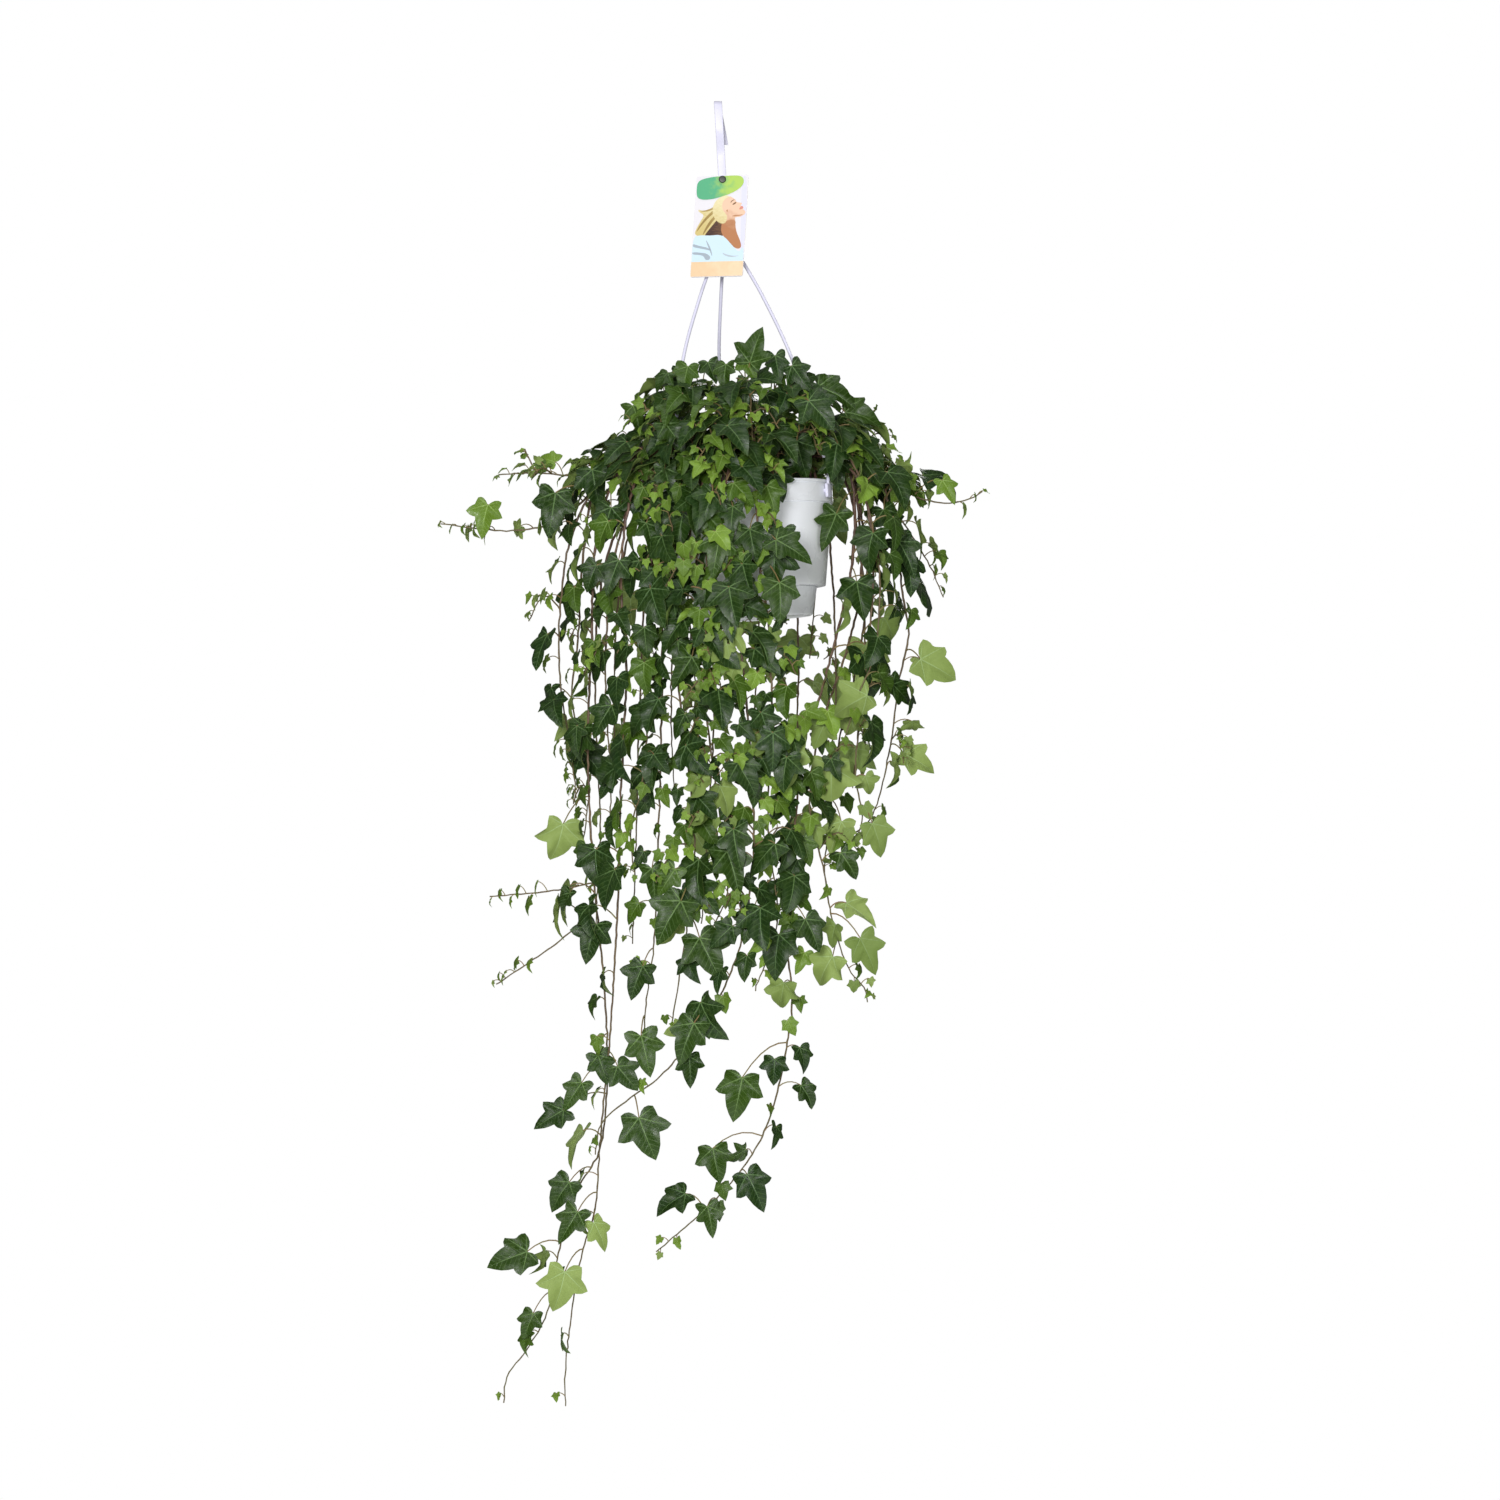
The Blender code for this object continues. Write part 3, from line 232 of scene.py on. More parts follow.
# ---- shared effects ----
def makeFineGrain():
    """small uneven grain for plastic and card: a value for colour and roughness, and a height"""
    tree, given, out = newGroup(
        "fineGrain", [("Place", "Vector", None), ("Grain Scale", "Float", 900.0),
                      ("Cloud Scale", "Float", 30.0)],
        [("Cloud", "Float"), ("Height", "Float")])
    for scale, detail, label in (("Grain Scale", 2.0, "Height"), ("Cloud Scale", 4.0, "Cloud")):
        noise = noiseNode(tree, given.outputs[scale], detail, given.outputs["Place"])
        link(tree, noise, out.inputs[label])
    return tree


def makeLeafVeins():
    """veins of a five-lobed leaf, drawn over the leaf's own map: stalk at 0, 0 and tip at 0, 1"""
    tree, given, out = newGroup(
        "leafVeins", [("Leaf Map", "Vector", None), ("Vein Width", "Float", 0.012),
                      ("Side Veins", "Float", 8.0)],
        [("Main Veins", "Float"), ("Side Veins", "Float"), ("Net", "Float"), ("Height", "Float")])
    split = tree.nodes.new("ShaderNodeSeparateXYZ")
    link(tree, given.outputs["Leaf Map"], split.inputs[0])
    across = mathNode(tree, "ABSOLUTE", split.outputs[0])
    along = split.outputs[1]
    width = given.outputs["Vein Width"]
    main, side = None, None
    # each main vein: its direction from straight ahead, its length, and how far its side veins reach
    for angle, reach, spread in ((0, 1.0, 0.30), (54.5, 0.70, 0.20), (109, 0.42, 0.16)):
        sine, cosine = math.sin(math.radians(angle)), math.cos(math.radians(angle))
        distance = mathNode(tree, "ABSOLUTE", mathNode(
            tree, "SUBTRACT", times(tree, across, cosine), times(tree, along, sine)))
        forward = mathNode(
            tree, "ADD", times(tree, across, sine), times(tree, along, cosine))
        taper = rangeNode(tree, forward, 0.0, reach, 1.0, 0.25)
        thick = times(tree, width, taper)
        vein = times(tree, rangeNode(tree, mathNode(tree, "DIVIDE", distance, thick), 0.6, 2.2, 1.0, 0.0),
                        rangeNode(tree, forward, -0.01, 0.02))
        main = vein if main is None else mathNode(tree, "MAXIMUM", main, vein)
        slant = mathNode(tree, "SUBTRACT", forward, times(tree, distance, 0.9))
        wave = mathNode(tree, "PINGPONG", times(tree, slant, given.outputs["Side Veins"]), 0.5)
        thread = times(tree, rangeNode(tree, wave, 0.02, 0.10, 1.0, 0.0),
                          rangeNode(tree, distance, spread * 0.5, spread, 1.0, 0.0))
        thread = times(tree, thread, rangeNode(tree, forward, 0.02, 0.06))
        side = thread if side is None else mathNode(tree, "MAXIMUM", side, thread)
    net = tree.nodes.new("ShaderNodeTexVoronoi")
    net.feature = "DISTANCE_TO_EDGE"
    net.inputs["Scale"].default_value = 26.0
    link(tree, given.outputs["Leaf Map"], net.inputs["Vector"])
    lines = rangeNode(tree, net.outputs["Distance"], 0.01, 0.10, 1.0, 0.0)
    height = mathNode(tree, "ADD", times(tree, main, 0.8), times(tree, side, 0.35))
    height = mathNode(tree, "ADD", height, times(tree, lines, 0.12))
    for value, label in ((main, "Main Veins"), (side, "Side Veins"), (lines, "Net"), (height, "Height")):
        link(tree, value, out.inputs[label])
    return tree


fineGrain = makeFineGrain()
leafVeins = makeLeafVeins()

# ---- materials ----
leafLook = {
    "mature": (0.0085, 0.027, 0.0010), "matureBlue": (0.008, 0.027, 0.004), "middle": (0.042, 0.092, 0.004),
    "young": (0.160, 0.270, 0.028), "cloud": (0.060, 0.110, 0.010),
    "veinMature": (0.13, 0.23, 0.085), "veinYoung": (0.38, 0.55, 0.14),
    "under": (0.260, 0.350, 0.095), "underDark": (0.085, 0.145, 0.025), "underVein": (0.38, 0.52, 0.22),
    "roughness": 0.35, "underRoughness": 0.60, "specular": 0.27,
}


def makeLeafMaterial():
    material, tree, shader = newMaterial("ivyLeaf")
    uv = tree.nodes.new("ShaderNodeUVMap")
    uv.uv_map = "leafMap"
    veins = placeGroup(tree, leafVeins, Leaf_Map=uv.outputs[0], Vein_Width=0.0095)
    age = attributeNode(tree, "leafAge")
    tint = attributeNode(tree, "leafTint")
    under = attributeNode(tree, "leafUnder")
    place = objectPlace(tree)
    dark = mixColour(tree, tint, leafLook["mature"], leafLook["matureBlue"])
    base = mixColour(tree, rangeNode(tree, age, 0.05, 0.45), dark, leafLook["middle"])
    base = mixColour(tree, rangeNode(tree, age, 0.45, 1.0), base, leafLook["young"])
    cloud = noiseNode(tree, 160.0, 3.0, place)
    base = mixColour(tree, rangeNode(tree, cloud, 0.40, 0.75, 0.0, 0.22), base, leafLook["cloud"])
    veinColour = mixColour(tree, age, leafLook["veinMature"], leafLook["veinYoung"])
    top = mixColour(tree, times(tree, veins.outputs["Net"], 0.10), base, veinColour)
    top = mixColour(tree, times(tree, veins.outputs["Side Veins"], 0.22), top, veinColour)
    top = mixColour(tree, times(tree, veins.outputs["Main Veins"], 0.62), top, veinColour)
    below = mixColour(tree, times(tree, veins.outputs["Main Veins"], 0.8), leafLook["under"],
                      leafLook["underVein"])
    below = mixColour(tree, times(tree, cloud, 0.25), below, leafLook["underDark"])
    below = mixColour(tree, times(tree, tint, 0.55), below, leafLook["underDark"])
    link(tree, mixColour(tree, under, top, below), shader.inputs["Base Color"])
    gloss = rangeNode(tree, cloud, 0.3, 0.7, leafLook["roughness"] - 0.06, leafLook["roughness"] + 0.08)
    rough = tree.nodes.new("ShaderNodeMix")
    link(tree, under, rough.inputs[0])
    link(tree, gloss, rough.inputs[2])
    rough.inputs[3].default_value = leafLook["underRoughness"]
    link(tree, rough.outputs[0], shader.inputs["Roughness"])
    shader.inputs["Specular IOR Level"].default_value = leafLook["specular"]
    height = mathNode(tree, "ADD", veins.outputs["Height"], times(tree, cloud, 0.5))
    bumpInto(tree, shader, height, 0.55, 0.0006)
    return material


def makeStemMaterial():
    material, tree, shader = newMaterial("ivyStem", Roughness=0.6)
    place = objectPlace(tree)
    old = attributeNode(tree, "stemAge")
    stalk = attributeNode(tree, "stalk")
    fibre = noiseNode(tree, 420.0, 4.0, place)
    patch = noiseNode(tree, 45.0, 3.0, place)
    bark = mixColour(tree, rangeNode(tree, patch, 0.4, 0.62), (0.060, 0.024, 0.020), (0.150, 0.075, 0.048))
    bark = mixColour(tree, rangeNode(tree, fibre, 0.35, 0.7, 0.0, 0.45), bark, (0.26, 0.17, 0.12))
    fresh = mixColour(tree, patch, (0.10, 0.050, 0.026), (0.12, 0.13, 0.035))
    colour = mixColour(tree, old, fresh, bark)
    stalkColour = mixColour(tree, patch, (0.17, 0.20, 0.045), (0.25, 0.115, 0.075))
    link(tree, mixColour(tree, stalk, colour, stalkColour), shader.inputs["Base Color"])
    link(tree, rangeNode(tree, fibre, 0.3, 0.7, 0.45, 0.7), shader.inputs["Roughness"])
    bumpInto(tree, shader, fibre, 0.5, 0.0004)
    return material


def makePlastic(name, colour, roughness, grainStrength=0.12, cloudShare=0.06):
    material, tree, shader = newMaterial(name)
    grain = placeGroup(tree, fineGrain, Place=objectPlace(tree), Grain_Scale=1400.0, Cloud_Scale=24.0)
    darker = tuple(c * 0.90 for c in colour)
    link(tree, mixColour(tree, rangeNode(tree, grain.outputs["Cloud"], 0.3, 0.7, 0.0, cloudShare * 6),
                         colour, darker),
         shader.inputs["Base Color"])
    link(tree, rangeNode(tree, grain.outputs["Cloud"], 0.3, 0.7, roughness - 0.04, roughness + 0.07),
         shader.inputs["Roughness"])
    bumpInto(tree, shader, grain.outputs["Height"], grainStrength, 0.0002)
    return material


def makeSoilMaterial():
    material, tree, shader = newMaterial("pottingSoil", Roughness=0.95)
    place = objectPlace(tree)
    crumbs = noiseNode(tree, 260.0, 6.0, place, 0.7)
    colour = mixColour(tree, rangeNode(tree, crumbs, 0.35, 0.7), (0.022, 0.013, 0.008), (0.085, 0.050, 0.030))
    link(tree, colour, shader.inputs["Base Color"])
    bumpInto(tree, shader, crumbs, 0.9, 0.002)
    return material


ivyLeaf = makeLeafMaterial()
ivyStem = makeStemMaterial()
potPlastic = makePlastic("potPlastic", (0.85, 0.87, 0.91), 0.25)
hangerPlastic = makePlastic("hangerPlastic", (0.70, 0.69, 0.84), 0.40)
studPlastic = makePlastic("studPlastic", (0.02, 0.026, 0.018), 0.45)
cardMaterial = makePlastic("cardFace", (0.78, 0.76, 0.80), 0.34, 0.05)
soilMaterial = makeSoilMaterial()
print("materials made")

# ---- pot and saucer ----
def innerCollar():
    """the collar's radius inside, where the soil meets it"""
    s = potSizes
    return s["rimRadius"] - s["rimOverhang"] - s["collarTaper"] - s["wall"]


def potProfile(s):
    collarUpper = s["rimRadius"] - s["rimOverhang"]
    collarLower = collarUpper - s["collarTaper"]
    bodyUpper = collarLower - s["collarStep"]
    ring = -(s["collarHeight"] + s["bodyHeight"])
    foot = ring - s["footDepth"]
    share = s["footDepth"] / s["saucerHeight"]
    footRadius = (s["saucerUpperRadius"] + (s["saucerLowerRadius"] - s["saucerUpperRadius"]) * share
                  - s["saucerWall"] - 0.0008)
    inner, groove, collar = s["wall"], s["groove"], -s["collarHeight"]
    rim, rimEdge = s["rimRadius"], -s["rimHeight"]
    body, post = s["bodyLowerRadius"], 0.0062
    return [
        (post, foot + 0.002), (footRadius - inner, foot + 0.002), (footRadius - inner, ring + inner),
        (body - inner, ring + inner), (bodyUpper - inner, collar + inner),
        (collarLower - inner, collar + inner), (collarUpper - inner, 0.0),
        (rim, 0.0), (rim, rimEdge), (collarUpper - groove, rimEdge),
        (collarUpper - groove, rimEdge - groove), (collarUpper, rimEdge - 2 * groove),
        (collarLower, collar), (bodyUpper - groove, collar),
        (bodyUpper - groove, collar - groove), (bodyUpper, collar - 2 * groove),
        (body + 0.0006, ring + 0.0034), (body + 0.0006, ring + 0.0028),
        (body, ring), (footRadius, ring),
        (footRadius, foot), (post, foot)]


def ringLathe(profile, steps):
    """a turned ring that stays open along its axis"""
    count = len(profile)
    points = [polar(r, 360 * i / steps, h) for i in range(steps) for r, h in profile]
    faces = [(i * count + j, i * count + (j + 1) % count, (i + 1) % steps * count + (j + 1) % count,
              (i + 1) % steps * count + j) for i in range(steps) for j in range(count)]
    return points, faces


def buildPot():
    s = potSizes
    profile = rounded([*potProfile(s), potProfile(s)[0]], 0.0007)
    profile = profile[:-1] if Vector(profile[0]) == Vector(profile[-1]) else profile
    points, faces = ringLathe(profile, s["turnSteps"])
    mesh = meshFrom("potBody", points, faces, angle=50)
    mesh.transform(potPlace)
    return addPiece("potBody", mesh, potPlastic, ["pot"])


def buildSaucer():
    s = potSizes
    top = -(s["collarHeight"] + s["bodyHeight"]) - s["gap"]
    bottom = top - s["saucerHeight"] + s["gap"]
    upper, lower, wall = s["saucerUpperRadius"], s["saucerLowerRadius"], s["saucerWall"]
    floor = bottom + 0.002
    profile = [
        (0, floor), (lower - wall - 0.002, floor), (lower - wall + 0.0006, floor + 0.002),
        (upper - wall, top), (upper, top),
        (lower + 0.0010, bottom + 0.0030), (lower + 0.0004, bottom + 0.0012), (lower - 0.0012, bottom),
        (lower - 0.0050, bottom), (lower - 0.0060, bottom + 0.0006), (0.030, bottom + 0.0006),
        (0.029, bottom + 0.0012),
        (0.027, bottom + 0.0012), (0.026, bottom + 0.0006), (0, bottom + 0.0006)]
    points, faces = lathe(rounded(profile, 0.0005, 2), s["turnSteps"])
    mesh = meshFrom("saucerDish", points, faces, angle=50)
    mesh.transform(potPlace)
    return addPiece("saucerDish", mesh, potPlastic, ["saucer"])


soilSettings = {"rings": 34, "steps": 90, "lumpHeight": 0.0022, "depth": 0.012, "seed": 5}


def buildSoil():
    s = potSizes
    chance = random.Random(soilSettings["seed"])
    outer = innerCollar() - 0.0006
    points = [Vector((0, 0, -s["soilBelowRim"] + s["soilCrown"]))]
    rings, steps = soilSettings["rings"], soilSettings["steps"]
    for r in range(1, rings + 1):
        radius = outer * r / rings
        for i in range(steps):
            height = -s["soilBelowRim"] + s["soilCrown"] * (1 - (r / rings) ** 2)
            lump = soilSettings["lumpHeight"] * (chance.random() - 0.5) * (0.3 if r == rings else 1.0)
            points.append(polar(radius, 360 * (i + 0.3 * chance.random()) / steps, height + lump - 0.0006))
    last = len(points)
    bottom = -s["soilBelowRim"] - soilSettings["depth"]
    points += [polar(outer - 0.004, 360 * i / steps, bottom) for i in range(steps)]
    points.append(Vector((0, 0, bottom)))
    faces = [(0, 1 + i, 1 + (i + 1) % steps) for i in range(steps)]
    for r in range(rings):
        a, b = 1 + r * steps, 1 + (r + 1) * steps
        faces += [(a + i, b + i, b + (i + 1) % steps, a + (i + 1) % steps) for i in range(steps)]
    faces += [(last + i, len(points) - 1, last + (i + 1) % steps) for i in range(steps)]
    mesh = meshFrom("pottingSoil", points, faces, smooth=False)
    mesh.transform(potPlace)
    return addPiece("pottingSoil", mesh, soilMaterial, ["soil"])


buildPot()
buildSaucer()
buildSoil()
print("pot, saucer and soil made")

# ---- vines: the same routes as the CAD stems ----
# root azimuth, root distance as a share of the soil's radius, crest height, and the points that the
# vine hangs through, in millimetres from the rim's centre; azimuth -90 is the front
vines = {
    "vine_left_long": (-160, 0.62, 62, [
        (-138, -60, 16), (-166, -74, -60), (-172, -78, -180), (-176, -76, -300), (-170, -74, -430),
        (-158, -70, -560), (-155, -70, -650), (-163, -66, -735), (-188, -62, -782),
        (-209, -60, -852), (-222, -58, -918), (-245, -56, -960), (-267, -55, -990),
        (-270, -55, -1018)]),
    "vine_left_pale": (-140, 0.78, 48, [
        (-112, -94, 18), (-132, -106, -40), (-138, -108, -120), (-132, -110, -210),
        (-138, -108, -330), (-141, -106, -445), (-146, -100, -540), (-152, -92, -620),
        (-160, -84, -700), (-164, -79, -745), (-168, -78, -800), (-184, -74, -856),
        (-196, -70, -930), (-202, -68, -990), (-201, -68, -1020)]),
    "vine_front_crossing": (-97, 0.80, 58, [
        (-20, -124, 16), (-28, -138, -40), (-26, -146, -95), (-12, -150, -158), (0, -150, -260),
        (6, -146, -400), (-7, -140, -502), (-22, -134, -545), (-47, -122, -594), (-99, -107, -655),
        (-129, -103, -676), (-160, -100, -704), (-167, -97, -738)]),
    "vine_right_long": (-8, 0.70, 40, [
        (108, -22, 24), (119, -30, -20), (114, -48, -100), (92, -82, -190), (77, -98, -243),
        (58, -110, -290), (51, -118, -380), (38, -120, -437), (42, -118, -510), (48, -114, -562),
        (42, -110, -620), (29, -106, -680), (13, -102, -722), (-15, -98, -765), (-60, -92, -811),
        (-100, -88, -846)]),
    "vine_right_curl": (6, 0.82, 34, [
        (112, 2, 20), (124, -6, -30), (126, -24, -110), (108, -58, -190), (80, -86, -270),
        (68, -100, -340), (70, -104, -380), (82, -104, -423), (92, -100, -480), (110, -96, -535),
        (127, -92, -556), (131, -90, -572)]),
    "vine_right_outer": (-18, 0.52, 66, [
        (138, -42, 22), (160, -48, -50), (172, -52, -127), (178, -52, -168), (168, -52, -215),
        (158, -50, -290), (145, -48, -350), (132, -46, -378), (112, -44, -392)]),
    "vine_right_inner": (-18, 0.80, 27, [
        (118, -56, 10), (134, -64, -40), (138, -72, -110), (128, -78, -220), (118, -82, -320),
        (124, -82, -380), (94, -88, -418)]),
    "vine_front_middle": (-108, 0.66, 70, [
        (-44, -116, 20), (-52, -128, -40), (-56, -136, -160), (-42, -140, -280), (-26, -140, -400),
        (-22, -136, -450), (-40, -130, -492)]),
    "vine_front_left": (-119, 0.80, 56, [
        (-66, -110, 16), (-76, -120, -40), (-82, -130, -160), (-68, -132, -280), (-58, -130, -380),
        (-58, -128, -430), (-64, -122, -475), (-74, -116, -540), (-84, -108, -600)]),
    "vine_left_front": (-132, 0.62, 60, [
        (-86, -98, 24), (-98, -112, -40), (-108, -122, -150), (-110, -124, -290),
        (-116, -122, -340), (-127, -120, -382), (-122, -120, -440)]),
    "vine_front_bright": (-100, 0.50, 84, [
        (-30, -128, 28), (-42, -144, -30), (-44, -154, -110), (-34, -158, -190), (-28, -156, -250)]),
    "vine_front_right": (-84, 0.72, 60, [
        (8, -118, 20), (10, -130, -40), (13, -136, -97), (22, -138, -160), (26, -138, -260),
        (22, -136, -380), (32, -131, -470), (25, -127, -513), (13, -123, -542), (8, -119, -557)]),
    "vine_right_front": (-38, 0.66, 52, [
        (108, -78, 30), (138, -98, -60), (144, -104, -120), (136, -106, -198), (119, -104, -238),
        (104, -100, -290)]),
    "vine_right_back": (16, 0.66, 40, [
        (114, 24, 20), (128, 18, -30), (134, 2, -110), (122, -34, -200), (102, -60, -280),
        (94, -70, -322), (88, -74, -380), (84, -74, -430)]),
    "vine_left_outer": (-178, 0.68, 52, [
        (-128, -12, 34), (-166, -20, 8), (-182, -24, -60), (-190, -24, -171), (-197, -24, -238),
        (-191, -24, -270), (-178, -22, -330), (-184, -22, -400)]),
    "vine_left_wide": (-169, 0.80, 44, [
        (-118, -34, 30), (-166, -44, 0), (-196, -50, -60), (-208, -50, -140), (-208, -50, -220),
        (-196, -46, -300), (-190, -46, -350)]),
    "vine_left_inner": (-150, 0.80, 36, [
        (-106, -66, 12), (-134, -84, -40), (-150, -94, -110), (-156, -94, -220), (-150, -91, -330),
        (-152, -90, -400)]),
    "vine_front_short": (-114, 0.86, 26, [
        (-46, -98, 8), (-58, -107, -30), (-66, -108, -100), (-60, -110, -200), (-52, -110, -260)]),
    "vine_left_low": (-126, 0.86, 30, [
        (-66, -90, 8), (-84, -104, -30), (-92, -107, -120), (-94, -106, -260), (-98, -104, -400),
        (-102, -102, -500), (-112, -97, -580), (-116, -90, -628)]),
    "shoot_left_upper": (168, 0.60, 50, [
        (-116, 22, 38), (-150, 20, 22), (-184, 18, 14), (-240, 14, 17), (-281, 12, 15)]),
    "shoot_left_lower": (176, 0.80, 36, [
        (-120, 4, 24), (-160, 0, 8), (-190, -2, -20), (-214, -4, -40), (-246, -6, -48),
        (-290, -8, -49), (-345, -10, -42)]),
    "shoot_right_upper": (-12, 0.84, 42, [
        (112, -22, 44), (150, -24, 8), (191, -26, -14), (219, -24, -20), (243, -22, -17),
        (262, -20, -7)]),
    "shoot_right_lower": (10, 0.50, 58, [
        (126, 30, 40), (156, 28, -4), (172, 22, -32), (193, 16, -66), (208, 12, -94),
        (220, 8, -124)]),
    "vine_back_right": (30, 0.80, 36, [
        (108, 56, 16), (124, 68, -40), (134, 74, -130), (130, 76, -240), (120, 72, -340)]),
    "vine_back_right_long": (46, 0.66, 50, [
        (82, 84, 20), (94, 104, -50), (100, 116, -130), (102, 118, -240), (94, 114, -330),
        (98, 110, -400)]),
    "vine_back_middle": (66, 0.80, 46, [
        (46, 106, 16), (52, 128, -50), (58, 140, -140), (58, 142, -260), (50, 138, -380),
        (44, 132, -470)]),
    "vine_back": (85, 0.64, 58, [
        (4, 114, 22), (8, 138, -40), (14, 150, -120), (8, 154, -240), (4, 150, -350)]),
    "vine_back_left_long": (106, 0.80, 48, [
        (-30, 112, 18), (-38, 134, -40), (-42, 148, -130), (-40, 152, -260), (-48, 148, -400),
        (-54, 142, -500)]),
    "vine_back_left": (122, 0.66, 54, [
        (-64, 98, 20), (-76, 118, -40), (-84, 132, -120), (-90, 134, -240), (-86, 130, -350)]),
    "vine_left_back_long": (137, 0.80, 44, [
        (-88, 82, 16), (-108, 98, -40), (-120, 110, -120), (-126, 112, -250), (-130, 106, -400),
        (-134, 100, -520)]),
    "vine_left_back": (152, 0.66, 50, [
        (-108, 54, 18), (-132, 66, -30), (-148, 76, -110), (-154, 78, -220), (-152, 74, -330)]),
    "vine_left_side": (161, 0.84, 30, [
        (-112, 34, 10), (-142, 40, -30), (-168, 44, -110), (-174, 44, -240), (-168, 40, -380),
        (-172, 36, -470)]),
    "vine_back_right_short": (57, 0.50, 40, [
        (62, 86, 14), (72, 102, -30), (78, 108, -100), (72, 110, -190)]),
    "vine_back_left_short": (114, 0.50, 38, [
        (-44, 94, 10), (-52, 108, -40), (-58, 112, -110), (-56, 114, -180)]),
    "crown_right": (-20, 0.40, 100, [
        (96, -16, 88), (122, -14, 56), (134, -12, 30)]),
    "crown_front_left": (-128, 0.40, 98, [
        (-76, -82, 82), (-108, -100, 46), (-118, -108, 20)]),
    "crown_front": (-88, 0.46, 108, [
        (2, -96, 96), (4, -120, 58), (6, -124, 34)]),
    "crown_left": (-176, 0.42, 100, [
        (-104, -14, 86), (-134, -18, 54), (-146, -26, 30)]),
    "crown_back": (72, 0.44, 92, [
        (20, 94, 76), (22, 118, 44), (20, 128, 16)]),
    "crown_front_right": (-62, 0.46, 96, [
        (52, -84, 86), (70, -104, 58), (80, -112, 30)]),
}

# the vine that a side shoot grows from, where it leaves it, and its points
sideShoots = [
    ("vine_left_long", (-170, -440), [(-190, -78, -446), (-226, -80, -452), (-284, -80, -457)]),
    ("vine_left_long", (-167, -470), [(-184, -70, -486), (-207, -66, -506), (-247, -64, -534),
                              (-278, -62, -555)]),
    ("shoot_left_upper", (-238, 17), [(-246, 12, 30), (-253, 10, 44)]),
]

# leaves that stand out: base across and below the rim's centre, length, swing, and face seen
largeOnVines = {
    "vine_left_long": [
        (-166, -486, 44, -20, "upper"), (-182, -660, 36, -35, "upper"), (-164, -630, 34, 20, "upper"),
        (-202, -690, 38, -60, "upper"), (-196, -770, 36, -40, "upper"), (-242, -846, 46, -70, "upper"),
        (-236, -915, 30, -20, "upper")],
    "vine_left_pale": [
        (-142, -640, 34, 40, "upper"), (-186, -800, 40, -30, "upper"), (-168, -812, 36, 30, "under"),
        (-200, -866, 46, -10, "under")],
    "vine_front_crossing": [
        (-30, -66, 46, -10, "upper"), (-58, -590, 46, -25, "upper"), (-118, -694, 48, 20, "upper")],
    "vine_front_middle": [(-22, -404, 50, 20, "upper"), (-60, -196, 40, -30, "upper")],
    "vine_front_left": [(-72, -458, 52, -35, "upper"), (-52, -498, 48, 25, "upper")],
    "vine_front_right": [
        (30, -70, 46, 60, "upper"), (34, -116, 44, 5, "upper"), (6, -466, 40, -15, "upper")],
    "vine_left_low": [
        (-104, -424, 36, 10, "upper"), (-114, -530, 38, -25, "upper"), (-116, -606, 46, 15, "upper")],
    "vine_right_long": [
        (98, -34, 44, -20, "upper"), (46, -290, 52, 0, "under"), (62, -478, 38, 30, "upper"),
        (-6, -650, 46, -10, "upper"), (-38, -728, 38, 10, "upper"), (-44, -792, 34, 15, "upper")],
    "vine_right_curl": [
        (86, -262, 40, -25, "under"), (122, -500, 46, 25, "under"), (92, -520, 40, -35, "under")],
    "vine_right_outer": [
        (166, -66, 44, 30, "upper"), (190, -196, 50, 60, "under"), (172, -300, 44, 60, "under")],
    "vine_right_inner": [(130, -236, 50, -60, "under"), (136, -376, 42, 20, "under")],
    "vine_right_back": [(102, -374, 42, -20, "under")],
    "vine_left_outer": [(-184, -296, 40, 40, "upper"), (-205, -378, 48, -10, "under")],
    "shoot_left_lower": [(-290, -22, 38, -15, "upper")],
    "shoot_right_upper": [(176, 10, 32, -30, "upper"), (216, 4, 30, 30, "upper")],
    "crown_front": [(2, 128, 40, 160, "upper")],
    "crown_right": [(78, 108, 46, 70, "upper"), (108, 80, 42, 80, "upper")],
    "crown_front_right": [(66, 84, 42, 40, "upper")],
}

stemSettings = {"baseRadius": 0.0017, "tipRadius": 0.0007, "sides": 8, "step": 0.006, "wander": 0.0007,
                "rise": 0.016, "crestShare": 0.80}


def smoothRoute(points, spacing):
    ends = [points[0] * 2 - points[1], *points, points[-1] * 2 - points[-2]]
    route = []
    for before, start, end, after in zip(ends, ends[1:], ends[2:], ends[3:]):
        length = (end - start).length
        leave = (end - before).normalized() * length
        arrive = (after - start).normalized() * length
        count = max(1, round(length / spacing))
        for i in range(count):
            t = i / count
            s, c = t * t, t * t * t
            route.append(start * (2 * c - 3 * s + 1) + leave * (c - 2 * s + t)
                         + end * (3 * s - 2 * c) + arrive * (c - s))
    return [*route, points[-1]]


def acrossRim(across, height):
    """x and z of a place given in millimetres from the rim's centre"""
    return rimCentre.x + across * mm, rimCentre.z + height * mm


def laidPoint(point):
    return rimCentre + Vector(point) * mm


def vineRoute(spec):
    azimuth, share, crest, hanging = spec
    s = potSizes
    radius = innerCollar() * share
    height = -s["soilBelowRim"] + s["soilCrown"] * (1 - share * share)
    root = potPlace @ polar(radius, azimuth, height - 0.002)
    top = potPlace @ polar(s["rimRadius"] * (share + stemSettings["crestShare"]) / 2, azimuth, crest * mm)
    points = [root, root + potUp * (stemSettings["rise"] + 0.002), top]
    return smoothRoute(points + [laidPoint(p) for p in hanging], stemSettings["step"])


